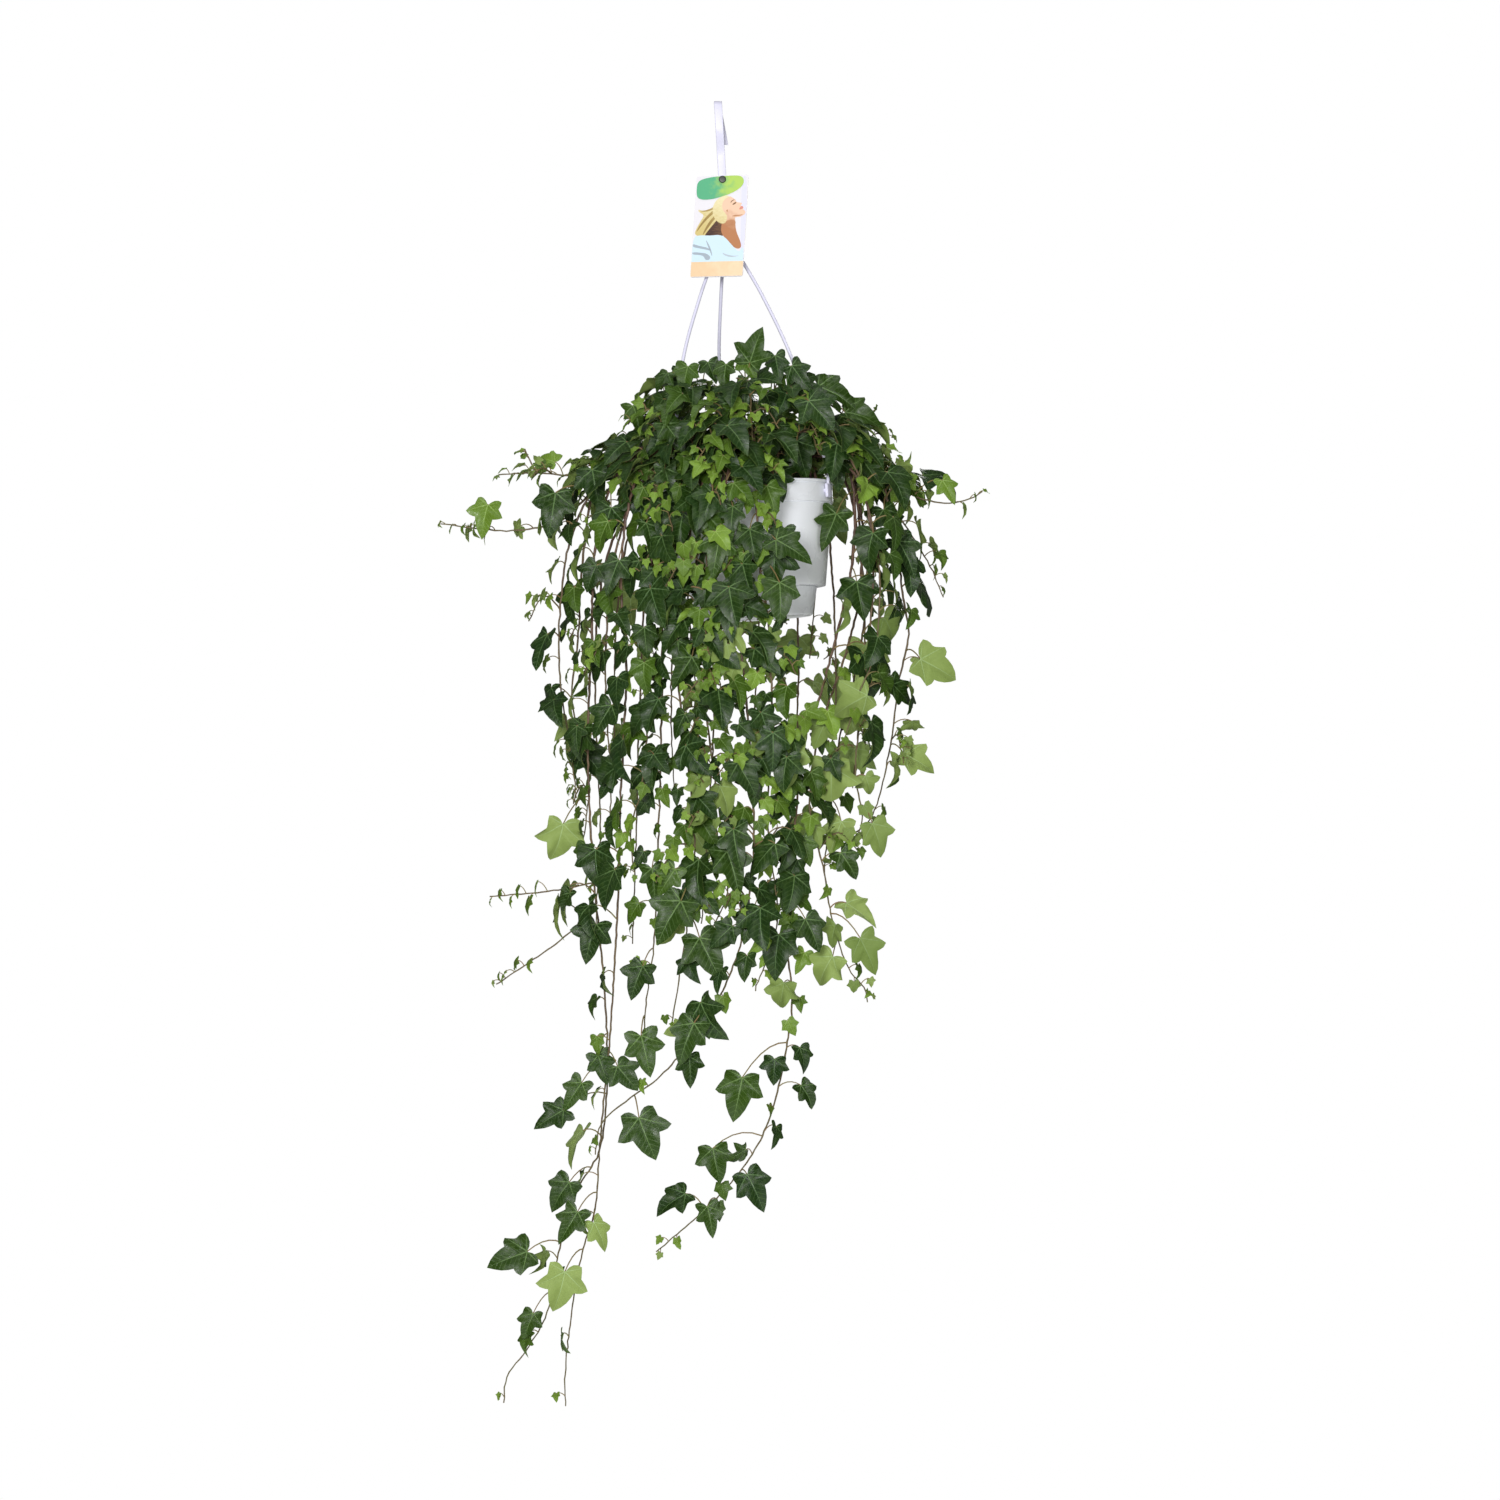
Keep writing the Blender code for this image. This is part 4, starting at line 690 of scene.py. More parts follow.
def ringFaces(rings, sides):
    """faces between the rings of a tube, and one over each end"""
    faces = []
    for i in range(rings - 1):
        for k in range(sides):
            j = (k + 1) % sides
            faces.append((i * sides + k, i * sides + j, (i + 1) * sides + j, (i + 1) * sides + k))
    return [*faces, tuple(reversed(range(sides))), tuple(range((rings - 1) * sides, rings * sides))]


def tubeRings(route, radii, sides):
    """points and faces of a closed tube, turned as little as possible from ring to ring"""
    points = []
    side = None
    for i, here in enumerate(route):
        ahead = route[min(i + 1, len(route) - 1)] - route[max(i - 1, 0)]
        ahead.normalize()
        if side is None:
            side = ahead.orthogonal().normalized()
        side = (side - ahead * side.dot(ahead)).normalized()
        other = ahead.cross(side)
        for k in range(sides):
            angle = 2 * math.pi * k / sides
            points.append(here + (side * math.cos(angle) + other * math.sin(angle)) * radii[i])
    return points, ringFaces(len(route), sides)


# ---- leaf shapes ----
leafSettings = {
    "shapes": 18, "seed": 11, "ringShares": (0.42, 0.76, 1.0), "coarseShares": (0.6, 1.0),
    "thickness": 0.00036,
    "coarseBelow": 0.021, "basal": (0.38, -0.15), "lowNotch": (0.33, 0.12), "lateral": (0.56, 0.38),
    "highNotch": (0.245, 0.43), "tip": (0.0, 1.0), "middle": (0.0, 0.20),
}


def bend(start, pull, end, count):
    """points on a curve from start towards end, without the end"""
    found = []
    for i in range(count):
        t = i / count
        found.append(tuple(a * (1 - t) ** 2 + 2 * b * t * (1 - t) + c * t * t for a, b,
                           c in zip(start, pull, end)))
    return found


def leafShape(chance, coarse):
    """points (x, y, z) of one blade of unit length, with its faces and its rim"""
    s = leafSettings
    wide = 0.86 + 0.26 * chance.random()
    deep = 0.88 + 0.36 * chance.random()
    skew = 0.16 * (chance.random() - 0.5)
    lobes = 0.70 + 0.40 * chance.random()
    reach = 0.78 + 0.30 * chance.random()
    fold = 0.45 * chance.random() - 0.12
    cup = 0.05 + 0.35 * chance.random()
    droop = 0.10 + 0.70 * chance.random()
    wave, phase = 0.012 + 0.040 * chance.random(), 6.28 * chance.random()
    twist = 0.35 * (chance.random() - 0.5)
    step = 2 if coarse else 1

    def place(point, side):
        return (point[0] * wide * side, point[1] * (lobes if point[1] < 0 else 1.0))

    outline, notches = [], []
    for side in (1, -1):
        uneven = 0.90 + 0.20 * chance.random()
        basal, lateral = place(s["basal"], side * uneven), place(s["lateral"], side * reach)
        low = place((s["lowNotch"][0] * deep, s["lowNotch"][1]), side)
        high = place((s["highNotch"][0] * deep, s["highNotch"][1]), side)
        half = bend((0.012 * side, -0.005), (0.16 * side, -0.26 * lobes), basal, 4 // step)
        half += bend(basal, (basal[0] * 1.10, 0.02), low, 3 // step)
        notches += [len(outline) + len(half)] if side == 1 else []
        half += bend(low, (lateral[0] * 0.80, low[1] + 0.05), lateral, 3 // step)
        half += bend(lateral, (lateral[0] * 0.70, lateral[1] + 0.15), high, 3 // step)
        notches += [len(half)] if side == 1 else []
        half += bend(high, (high[0] * 1.02, 0.76), s["tip"], 4 // step)
        outline += half + [s["tip"]] if side == 1 else list(reversed(half))
    count = len(outline)
    notches += [count - 1 - n for n in notches]
    rim = []
    for i, point in enumerate(outline):
        before, after = outline[i - 1], outline[(i + 1) % count]
        share = 0.40 if i in notches else 0.0
        rim.append(tuple(c * (1 - share) + (a + b) / 2 * share for a, c, b in zip(before, point, after)))
    shares = s["coarseShares"] if coarse else s["ringShares"]
    flat = [s["middle"]]
    for share in shares:
        flat += [tuple(m + (c - m) * share for m, c in zip(s["middle"], point)) for point in rim]
    xy = np.array(flat)
    x, y = xy[:, 0], xy[:, 1]
    radius = np.hypot(x, y - 0.2)
    turn = np.arctan2(x, y - 0.2)
    nearest = np.hypot(x, y)
    for angle in (0.0, 54.5, -54.5, 109.0, -109.0):
        sine, cosine = math.sin(math.radians(angle)), math.cos(math.radians(angle))
        ahead = (x * sine + y * cosine) > 0
        nearest = np.where(ahead, np.minimum(nearest, np.abs(x * cosine - y * sine)), nearest)
    z = fold * np.abs(x) - cup * radius ** 2 - droop * np.clip(y - 0.35, 0, None) ** 2
    z += 0.05 * (1 - np.exp(-(nearest / 0.09) ** 2)) + twist * x * y
    z += wave * radius ** 2 * 6 * np.sin(5 * turn + phase)
    top = np.stack([x + skew * y * y, y, z], 1)
    faces = [(0, 1 + i, 1 + (i + 1) % count) for i in range(count)]
    for r in range(len(shares) - 1):
        a, b = 1 + r * count, 1 + (r + 1) * count
        for i in range(count):
            j = (i + 1) % count
            faces += [(a + i, b + i, b + j), (a + i, b + j, a + j)]
    edge = [1 + (len(shares) - 1) * count + i for i in range(count)]
    return {"points": top, "map": xy, "faces": faces, "rim": edge,
            "outline": edge if coarse else edge[::2]}


shapeChance = random.Random(leafSettings["seed"])
fullShapes = [leafShape(shapeChance, False) for _ in range(leafSettings["shapes"])]
coarseShapes = [leafShape(shapeChance, True) for _ in range(leafSettings["shapes"])]


def shapeOf(leaf):
    return (coarseShapes if leaf["length"] < leafSettings["coarseBelow"] else fullShapes)[leaf["shape"]]


def bladePoints(leaf):
    """the blade's points in place: x runs across it, y from stalk to tip, z out of its upper face"""
    shape = shapeOf(leaf)
    across = leaf["down"].cross(leaf["normal"]).normalized()
    axes = np.array([across, leaf["down"], leaf["normal"]])
    return np.array(leaf["base"]) + (shape["points"] * leaf["length"]) @ axes


def leafMesh(name, leaves):
    """one mesh of many blades, each with a thin underside and a rim"""
    points, uvs, faces, age, tint, under = [], [], [], [], [], []
    start = 0
    for leaf in leaves:
        shape = shapeOf(leaf)
        top = bladePoints(leaf)
        count = len(top)
        points += [top, top - np.array(leaf["normal"]) * leafSettings["thickness"]]
        uvs += [shape["map"], shape["map"]]
        faces += [tuple(start + i for i in face) for face in shape["faces"]]
        faces += [tuple(start + count + i for i in reversed(face)) for face in shape["faces"]]
        rim = shape["rim"]
        for a, b in zip(rim, rim[1:] + rim[:1]):
            faces.append((start + b, start + a, start + count + a, start + count + b))
        age += [leaf["age"]] * (2 * count)
        tint += [leaf["tint"]] * (2 * count)
        under += [0.0] * count + [1.0] * count
        start += 2 * count
    points = np.concatenate(points)
    mesh = bpy.data.meshes.new(name)
    mesh.from_pydata(points.tolist(), [], faces)
    mesh.shade_smooth()
    mesh.set_sharp_from_angle(angle=math.radians(60))
    layer = mesh.uv_layers.new(name="leafMap")
    corner = np.empty(len(mesh.loops), np.int32)
    mesh.loops.foreach_get("vertex_index", corner)
    layer.uv.foreach_set("vector", np.concatenate(uvs)[corner].astype(np.float32).ravel())
    setPointValues(mesh, "leafAge", age)
    setPointValues(mesh, "leafTint", tint)
    setPointValues(mesh, "leafUnder", under)
    return mesh


# ---- where leaves grow ----
# more leaves placed one by one, on whichever front vine passes nearest: base across and below the
# rim's centre, length, swing, and age
extraLeaves = [
    (54, 46, 45, 12, 0.05), (78, 68, 42, -25, 0.12), (114, 68, 38, 40, 0.20), (98, 40, 40, -12, 0.05),
    (128, 24, 38, 30, 0.15), (30, 62, 40, -14, 0.10),
    (20, 96, 36, 20, 0.08), (-20, 84, 38, -20, 0.10), (-3, -8, 34, 10, 0.04), (20, -30, 32, -15, 0.06),
    (2, -58, 36, 8, 0.10), (28, 6, 32, 18, 0.02), (-16, -34, 34, -6, 0.12), (16, -88, 34, 16, 0.05),
    (-6, -110, 36, -12, 0.08), (26, -14, 28, 30, 0.35), (34, -52, 26, -30, 0.05), (-30, -70, 36, 5, 0.04),
    (-38, -20, 34, -20, 0.10),
    (-90, 10, 36, 12, 0.10), (-70, -40, 38, -12, 0.04), (-110, -50, 34, 20, 0.15), (-60, 40, 36, -30, 0.20),
    (8, 30, 34, 0, 0.25), (40, -120, 30, -18, 0.08),
    (-212, -12, 50, -8, 0.10), (-128, 88, 34, 20, 0.30),
    (-172, 14, 42, 12, 0.06), (-150, -30, 44, -15, 0.04), (-120, -12, 46, 8, 0.05),
    (-140, -90, 40, -20, 0.06), (-100, -100, 42, 18, 0.04), (-66, -108, 38, -25, 0.10),
    (-90, 60, 38, 35, 0.12), (150, -30, 40, 25, 0.10), (136, -60, 42, -18, 0.06),
    (168, -80, 38, 20, 0.12), (120, -110, 44, 8, 0.10), (146, 20, 34, -30, 0.25), (104, 92, 46, 60, 0.06),
    (-88, 118, 26, -40, 0.15), (-66, 126, 30, -15, 0.30), (-44, 132, 26, 20, 0.10), (-24, 128, 30, -10, 0.20),
    (-4, 134, 28, 25, 0.55), (10, 148, 24, -20, 0.15), (30, 138, 32, 10, 0.08), (48, 126, 36, 35, 0.04),
    (-104, 96, 34, -45, 0.20), (-78, 100, 30, 0, 0.08), (-52, 108, 28, -25, 0.45), (-30, 104, 34, 15, 0.06),
    (0, 108, 32, -12, 0.10), (22, 112, 30, 20, 0.12), (56, 108, 30, -10, 0.50), (76, 96, 36, 30, 0.06),
    (95, 25, 34, 12, 0.10),
]
growth = {
    "seed": 3, "tries": 9, "crownSpacing": 0.0095, "curtainSpacing": 0.0165, "lowSpacing": 0.034,
    "tipSpacing": 0.012, "tipReach": 0.07, "crownAbove": -10, "lowBelow": -470,
    "largest": 0.047, "smallest": 0.017, "firstLeaf": 0.030, "middleShare": 0.28, "youngShare": 0.17,
    "spurSpacing": 0.060, "spurShortest": 0.022, "spurLongest": 0.055, "spurLowest": -480,
    "turnedBelow": 0.16, "behindStretch": 2.3, "rightStretch": 2.5, "rightLonger": 1.2, "leftStretch": 2.1,
    "frontStretch": 0.68,
}
brightVines = {"vine_front_bright": 0.65, "shoot_right_upper": 0.9, "shoot_left_lower": 0.8,
               "shoot_left_upper": 0.7,
               "shoot_right_lower": 0.55, "vine_front_right": 0.25, "vine_left_wide": 0.3,
               "vine_left_low": 0.25}
turnedVines = {"vine_right_outer": 0.55, "vine_right_inner": 0.5, "vine_right_back": 0.5,
               "vine_right_curl": 0.35,
               "vine_left_outer": 0.15, "vine_back_right": 0.2, "vine_right_front": 0.3}


def outwards(point):
    away = point - rimCentre
    away.z = 0
    return away.normalized()


def flatTree(leaf):
    """a coarse flat blade, for finding most of the leaves that would cut through each other"""
    points = bladePoints(leaf)
    shape = shapeOf(leaf)
    corners = [Vector(points[0])] + [Vector(points[i]) for i in shape["outline"]]
    n = len(corners) - 1
    return BVHTree.FromPolygons(corners, [(0, 1 + i, 1 + (i + 1) % n) for i in range(n)])


def nodeTree(names):
    points, faces = [], []
    for name in names:
        mesh = frame["nodes"][name].data
        start = len(points)
        points += [v.co.copy() for v in mesh.vertices]
        faces += [tuple(start + i for i in face.vertices) for face in mesh.polygons]
    return BVHTree.FromPolygons(points, faces)


solidTree = nodeTree([n for n in frame["nodes"] if n.startswith(("hanger", "tag")) or n in ("pot", "saucer",
    "soil")])


def stalkStart(route, base, down):
    def strain(point):
        stalk = base - point
        return stalk.length * (1.4 - stalk.normalized().dot(down))
    return min(route, key=strain)


def nearestOn(route, across, height):
    return min(route, key=lambda p: math.hypot(p.x - across, p.z - height))


def squareTo(down, normal):
    return (normal - down * normal.dot(down)).normalized()


def largeLeaves(name, route, chance):
    for across, height, length, swing, face in largeOnVines.get(name, []):
        x, z = acrossRim(across, height)
        beside = nearestOn(route, x, z)
        base = Vector((x, beside.y - 0.012 - length * mm * 0.25, z))
        angle = math.radians(swing)
        down = Vector((math.sin(angle), -0.30, -math.cos(angle))).normalized()
        normal = Vector((0, -1, 0.45)) if face == "upper" else Vector((0.15, 0.9, 0.35))
        normal = squareTo(down, normal)
        age = 0.75 if name in brightVines and brightVines[name] > 0.6 else 0.05 + 0.2 * chance.random()
        yield {"stem": stalkStart(route, base, down), "base": base, "down": down, "normal": normal,
               "length": length * mm, "age": age, "tint": chance.random(),
               "shape": chance.randrange(leafSettings["shapes"])}


def furtherLeaves(routes, chance):
    """the extra leaves, each with the vine that it grows on"""
    for across, height, length, swing, age in extraLeaves:
        x, z = acrossRim(across, height)

        def gap(name):
            beside = nearestOn(routes[name], x, z)
            return math.hypot(beside.x - x, beside.z - z) + max(0.0, 0.3 * (beside.y + 0.06))
        name = min((n for n in routes if "+" not in n), key=gap)
        beside = nearestOn(routes[name], x, z)
        inFront = abs(across) < 85 and height < 20
        base = Vector((x, min(beside.y, -0.075 if inFront else 1) - 0.010 - length * mm * 0.2, z))
        angle = math.radians(swing)
        down = Vector((math.sin(angle), -0.35, -math.cos(angle))).normalized()
        normal = Vector((0.25 * chance.gauss(0, 1), -1, 0.5 + 0.25 * chance.gauss(0, 1)))
        normal = squareTo(down, normal)
        yield name, {"stem": stalkStart(routes[name], base, down), "base": base, "down": down,
                     "normal": normal,
                     "length": length * mm, "age": age, "tint": chance.random(),
                     "shape": chance.randrange(leafSettings["shapes"])}


def tryPose(name, stem, along, out, side, length, chance, crown):
    """one random pose for a leaf that grows from stem"""
    beside = along.cross(out)
    beside = beside.normalized() if beside.length > 0.1 else Vector((-out.y, out.x, 0))
    reach = out * (0.5 + 0.5 * chance.random()) + beside * side * (0.3 + 0.8 * chance.random())
    reach += up * (0.25 + 0.5 * chance.random() if crown else 0.1 + 0.3 * chance.random())
    base = stem + reach.normalized() * (0.004 + length * (0.25 + 0.5 * chance.random()))
    swing = chance.gauss(0, 0.6)
    if crown:
        down = out * 0.75 + along * 0.5 + beside * (side * 0.4 + swing) - up * (0.1 + 0.5 * chance.random())
        normal = up * (0.3 + 0.6 * chance.random()) + out * (0.4 + 0.6 * chance.random())
        normal = normal + beside * chance.gauss(0, 0.5)
    else:
        down = out * (0.15 + 0.4 * chance.random()) + beside * (side * 0.25 + swing) - up
        normal = out + up * (0.1 + 0.8 * chance.random()) + beside * chance.gauss(0, 0.6)
    if stem.z < rimCentre.z - growth["turnedBelow"] and chance.random() < turnedVines.get(name, 0.05):
        normal = -out * 0.4 + up * 0.5 + Vector((0.3, 0.8, 0)) + beside * chance.gauss(0, 0.3)
    down.normalize()
    normal = normal - down * normal.dot(down)
    if normal.length < 0.05:
        normal = up - down * up.dot(down)
    return base, down, normal.normalized()


def growLeaves(routes):
    """leaves for every vine, largest first; a random one is left out if its flat outline crosses another"""
    chance = random.Random(growth["seed"])
    wanted = []
    for name, route in routes.items():
        own = name.split("+")[0]
        for leaf in largeLeaves(own, route, chance) if name == own else ():
            wanted.append((leaf["length"] + 1, own, leaf, None))
        steps = [(b - a).length for a, b in zip(route, route[1:])]
        gone = np.concatenate([[0], np.cumsum(steps)])
        total = gone[-1]
        position = growth["firstLeaf"] * (0.6 + 0.8 * chance.random()) if name == own else 0.012
        side = 1 if chance.random() < 0.5 else -1
        while position < total:
            index = min(int(np.searchsorted(gone, position)), len(route) - 2)
            stem = route[index]
            height = (stem.z - rimCentre.z) / mm
            crown = height > growth["crownAbove"]
            left = total - position
            if left < growth["tipReach"]:
                spacing = growth["tipSpacing"]
                length = 0.007 + 0.016 * left / growth["tipReach"] * (0.6 + 0.6 * chance.random())
                age = 0.55 + 0.45 * chance.random()
            else:
                spacing = growth["crownSpacing"] if crown else growth["curtainSpacing"]
                if height < growth["lowBelow"]:
                    spacing = growth["lowSpacing"]
                wider = growth["largest"] - growth["smallest"]
                length = growth["smallest"] + wider * chance.random() ** 0.8
                out = outwards(stem)
                if not crown and out.y > 0.25:
                    spacing *= growth["behindStretch"]
                if not crown and out.x > 0.55:
                    spacing *= growth["rightStretch"]
                    length *= growth["rightLonger"]
                if not crown and out.x < -0.45:
                    spacing *= growth["leftStretch"]
                if out.y < -0.7:
                    spacing *= growth["frontStretch"]
                kind = chance.random()
                age = 0.12 * chance.random()
                if kind < growth["youngShare"]:
                    age = 0.6 + 0.4 * chance.random()
                    length *= 0.55
                elif kind < growth["youngShare"] + growth["middleShare"]:
                    age = 0.20 + 0.30 * chance.random()
                    length *= 0.80
            if chance.random() < brightVines.get(own, 0):
                age = 0.6 + 0.4 * chance.random()
                length = min(length, 0.026)
            wanted.append((length, own, None, (stem, route[index + 1] - stem, side, length, age, crown)))
            position += spacing * (0.65 + 0.7 * chance.random())
            side = -side
    wanted += [(leaf["length"] + 0.5, name, leaf, None) for name, leaf in furtherLeaves(routes, chance)]
    wanted.sort(key=lambda item: -item[0])
    placed = {name: [] for name in routes if "+" not in name}
    cells = {}
    size = 0.05

    def around(point):
        cell = tuple(int(math.floor(c / size)) for c in point)
        for dx in (-1, 0, 1):
            for dy in (-1, 0, 1):
                for dz in (-1, 0, 1):
                    yield from cells.get((cell[0] + dx, cell[1] + dy, cell[2] + dz), ())

    dropped = 0
    for length, own, leaf, spot in wanted:
        tries = 1 if leaf else growth["tries"]
        for attempt in range(tries):
            if not leaf or attempt:
                stem, along, side, size0, age, crown = spot
                base, down, normal = tryPose(own, stem, along.normalized(), outwards(stem), side, size0,
                                             chance, crown)
                found = {"stem": stem, "base": base, "down": down, "normal": normal, "length": size0,
                         "age": age,
                         "tint": chance.random(), "shape": chance.randrange(leafSettings["shapes"])}
            else:
                found = leaf
            tree = flatTree(found)
            crossing = tree.overlap(solidTree) or any(tree.overlap(other) for other in around(found["base"]))
            if crossing and (leaf is None or found["length"] + 0.5 == length):
                continue
            placed[own].append(found)
            cell = tuple(int(math.floor(c / size)) for c in found["base"])
            cells.setdefault(cell, []).append(tree)
            break
        else:
            dropped += 1
    print("leaves:", sum(len(v) for v in placed.values()), "without room:", dropped)
    return placed


def stalkRoute(leaf):
    start, end = leaf["stem"], leaf["base"]
    lift = up * (end - start).length * 0.28
    middle = start.lerp(end, 0.5) + lift - leaf["down"] * leaf["length"] * 0.06
    points = []
    for i in range(6):
        t = i / 5
        points.append(start.lerp(middle, t).lerp(middle.lerp(end, t), t))
    return points


def growSpurs(routes):
    """short young side shoots along the vines, which fill the crown and the curtain"""
    chance = random.Random(growth["seed"] + 1)
    spurs = {}
    for name, route in routes.items():
        if "+" in name:
            continue
        gone = growth["firstLeaf"] + growth["spurSpacing"] * chance.random()
        steps = np.cumsum([0] + [(b - a).length for a, b in zip(route, route[1:])])
        while gone < steps[-1] - growth["spurShortest"]:
            index = int(np.searchsorted(steps, gone))
            gone += growth["spurSpacing"] * (0.6 + 0.8 * chance.random())
            start = route[index]
            if (start.z - rimCentre.z) / mm < growth["spurLowest"]:
                break
            out = outwards(start)
            if start.z < rimCentre.z and (out.y > 0.25 or abs(out.x) > 0.6) and chance.random() < 0.8:
                continue
            beside = Vector((-out.y, out.x, 0)) * (1 if chance.random() < 0.5 else -1)
            longer = growth["spurLongest"] - growth["spurShortest"]
            length = growth["spurShortest"] + longer * chance.random()
            away = out * (0.3 + 0.5 * chance.random()) + beside * (0.4 + 0.8 * chance.random())
            away = away + up * (0.9 * chance.random() - 0.2)
            away = away.normalized() * length
            points = [start, start + away * 0.5 + up * 0.1 * length,
                      start + away - up * length * (0.2 + 0.5 * chance.random())]
            if all(solidTree.find_nearest(p)[3] > 0.006 for p in points[1:]):
                spurs[f"{name}+spur{index}"] = smoothRoute(points, stemSettings["step"])
    return spurs


def buildVines():
    chance = random.Random(stemSettings["sides"])
    routes = {name: vineRoute(spec) for name, spec in vines.items()}
    for index, (name, leavesAt, points) in enumerate(sideShoots):
        start = nearestOn(routes[name], *acrossRim(*leavesAt))
        routes[f"{name}+{index}"] = smoothRoute([start, *[laidPoint(p) for p in points]],
            stemSettings["step"])
    routes.update(growSpurs(routes))
    leaves = growLeaves(routes)
    for name in vines:
        points, faces, old, stalk = [], [], [], []

        def addTube(route, radii, sides, age, isStalk):
            tube, rings = tubeRings(route, radii, sides)
            start = len(points)
            points.extend(tube)
            faces.extend(tuple(start + i for i in face) for face in rings)
            old.extend(np.repeat(age, sides))
            stalk.extend([isStalk] * len(tube))

        for key, route in routes.items():
            if key.split("+")[0] != name:
                continue
            first = stemSettings["baseRadius"] if key == name else stemSettings["tipRadius"] * 1.3
            count = len(route)
            radii = [first + (stemSettings["tipRadius"] - first) * i / (count - 1) for i in range(count)]
            radii = [r * (1 + 0.22 * (chance.random() - 0.4)) for r in radii]
            ages = np.clip(1.15 - 1.2 * np.arange(count) / count, 0, 1) if key == name else np.full(count,
                0.25)
            addTube([p + Vector([chance.gauss(0, 1) * stemSettings["wander"] * 0.5 for _ in range(3)])
                     for p in route], radii, stemSettings["sides"], ages, 0.0)
        for leaf in leaves[name]:
            path = stalkRoute(leaf)
            thick = 0.00042 + 0.008 * leaf["length"]
            addTube(path, [thick * (1.15 - 0.3 * i / 5) for i in range(6)], 5, np.full(6, 0.3), 1.0)
        mesh = meshFrom(name + "_stem", points, faces, angle=60)
        setPointValues(mesh, "stemAge", old)
        setPointValues(mesh, "stalk", stalk)
        addPiece(name + "_stem", mesh, ivyStem, [name])
        addPiece(name + "_leaves", leafMesh(name + "_leaves", leaves[name]), ivyLeaf, [name])


buildVines()
print("vines made")

# ---- hanger ----
hanger = {
    "strapWidth": 0.009, "strapThickness": 0.0024, "strapLength": 0.1356, "strapDrift": 0.0079,
    "bendRadius": 0.010,
    "legLength": 0.044, "legDrift": 0.007, "legSpread": 0.002, "studBelow": 0.0865,
    "hubSize": (0.021, 0.0056, 0.011),
    "strandRadius": 0.0019, "strandUpright": 0.02, "azimuths": (-26.0, 94.0, 214.0),
    "bows": ((0.014, -0.004), (-0.016, 0.008), (-0.016, -0.010)), "clipSize": (0.0034, 0.012, 0.015),
    "clipClearance": 0.0007, "clipBelow": 0.0125, "pegSize": (0.006, 0.006, 0.004),
    "headSize": (0.0022, 0.007, 0.007),
    "gap": 0.0003,
}
studPlace = Vector((hanger["strapDrift"] * hanger["studBelow"] / hanger["strapLength"], 0,
                    -hanger["studBelow"]))
hubTop = Vector((hanger["strapDrift"], 0, -hanger["strapLength"]))


def roundedBox(size, place, width):
    """points and faces of a box with rounded edges"""
    build = bmesh.new()
    bmesh.ops.create_cube(build, size=1.0)
    bmesh.ops.scale(build, vec=size, verts=build.verts)
    bmesh.ops.bevel(build, geom=build.edges[:], offset=width, segments=3, profile=0.5, affect="EDGES")
    bmesh.ops.transform(build, matrix=place, verts=build.verts)
    build.verts.index_update()
    points = [v.co.copy() for v in build.verts]
    faces = [tuple(v.index for v in face.verts) for face in build.faces]
    build.free()
    return points, faces


def joined(parts):
    points, faces = [], []
    for morePoints, moreFaces in parts:
        start = len(points)
        points += morePoints
        faces += [tuple(start + i for i in face) for face in moreFaces]
    return points, faces


def strapRoute():
    h = hanger
    bendOuter = h["bendRadius"] + h["strapThickness"] / 2
    path = [Vector((h["legDrift"], bendOuter + h["legSpread"], -h["legLength"])),
            Vector((h["legDrift"] * 0.7, bendOuter, -h["legLength"] * 0.75))]
    for i in range(25):
        angle = math.pi * i / 24
        path.append(Vector((0, bendOuter * math.cos(angle), -h["bendRadius"] + bendOuter * math.sin(angle))))
    for i in range(13):
        share = i / 12
        eased = (1 + math.cos(math.pi * share)) / 2
        path.append(Vector((0, -bendOuter * eased, -h["bendRadius"] * (2.4 + 4.0 * share))))
    path += [studPlace.copy(), Vector((0, 0, hubTop.z - h["hubSize"][2] / 2))]
    for point in path[2:]:
        point.x = h["strapDrift"] * max(0.0, -point.z) / h["strapLength"]
    return path


def strapMesh():
    """a flat strap with rounded edges, bent about the x axis"""
    h = hanger
    route = strapRoute()
    halfWide, halfThick, edge = h["strapWidth"] / 2, h["strapThickness"] / 2, 0.0007
    section = []
    for x, y, start in ((1, 1, 0), (-1, 1, 90), (-1, -1, 180), (1, -1, 270)):
        for i in range(4):
            angle = math.radians(start + 30 * i)
            section.append((x * (halfWide - edge) + edge * math.cos(angle),
                            y * (halfThick - edge) + edge * math.sin(angle)))
    points = []
    for i, here in enumerate(route):
        ahead = route[min(i + 1, len(route) - 1)] - route[max(i - 1, 0)]
        ahead.x = 0
        outward = Vector((1, 0, 0)).cross(ahead.normalized())
        points += [here + Vector((a, 0, 0)) + outward * b for a, b in section]
    return points, ringFaces(len(route), len(section))


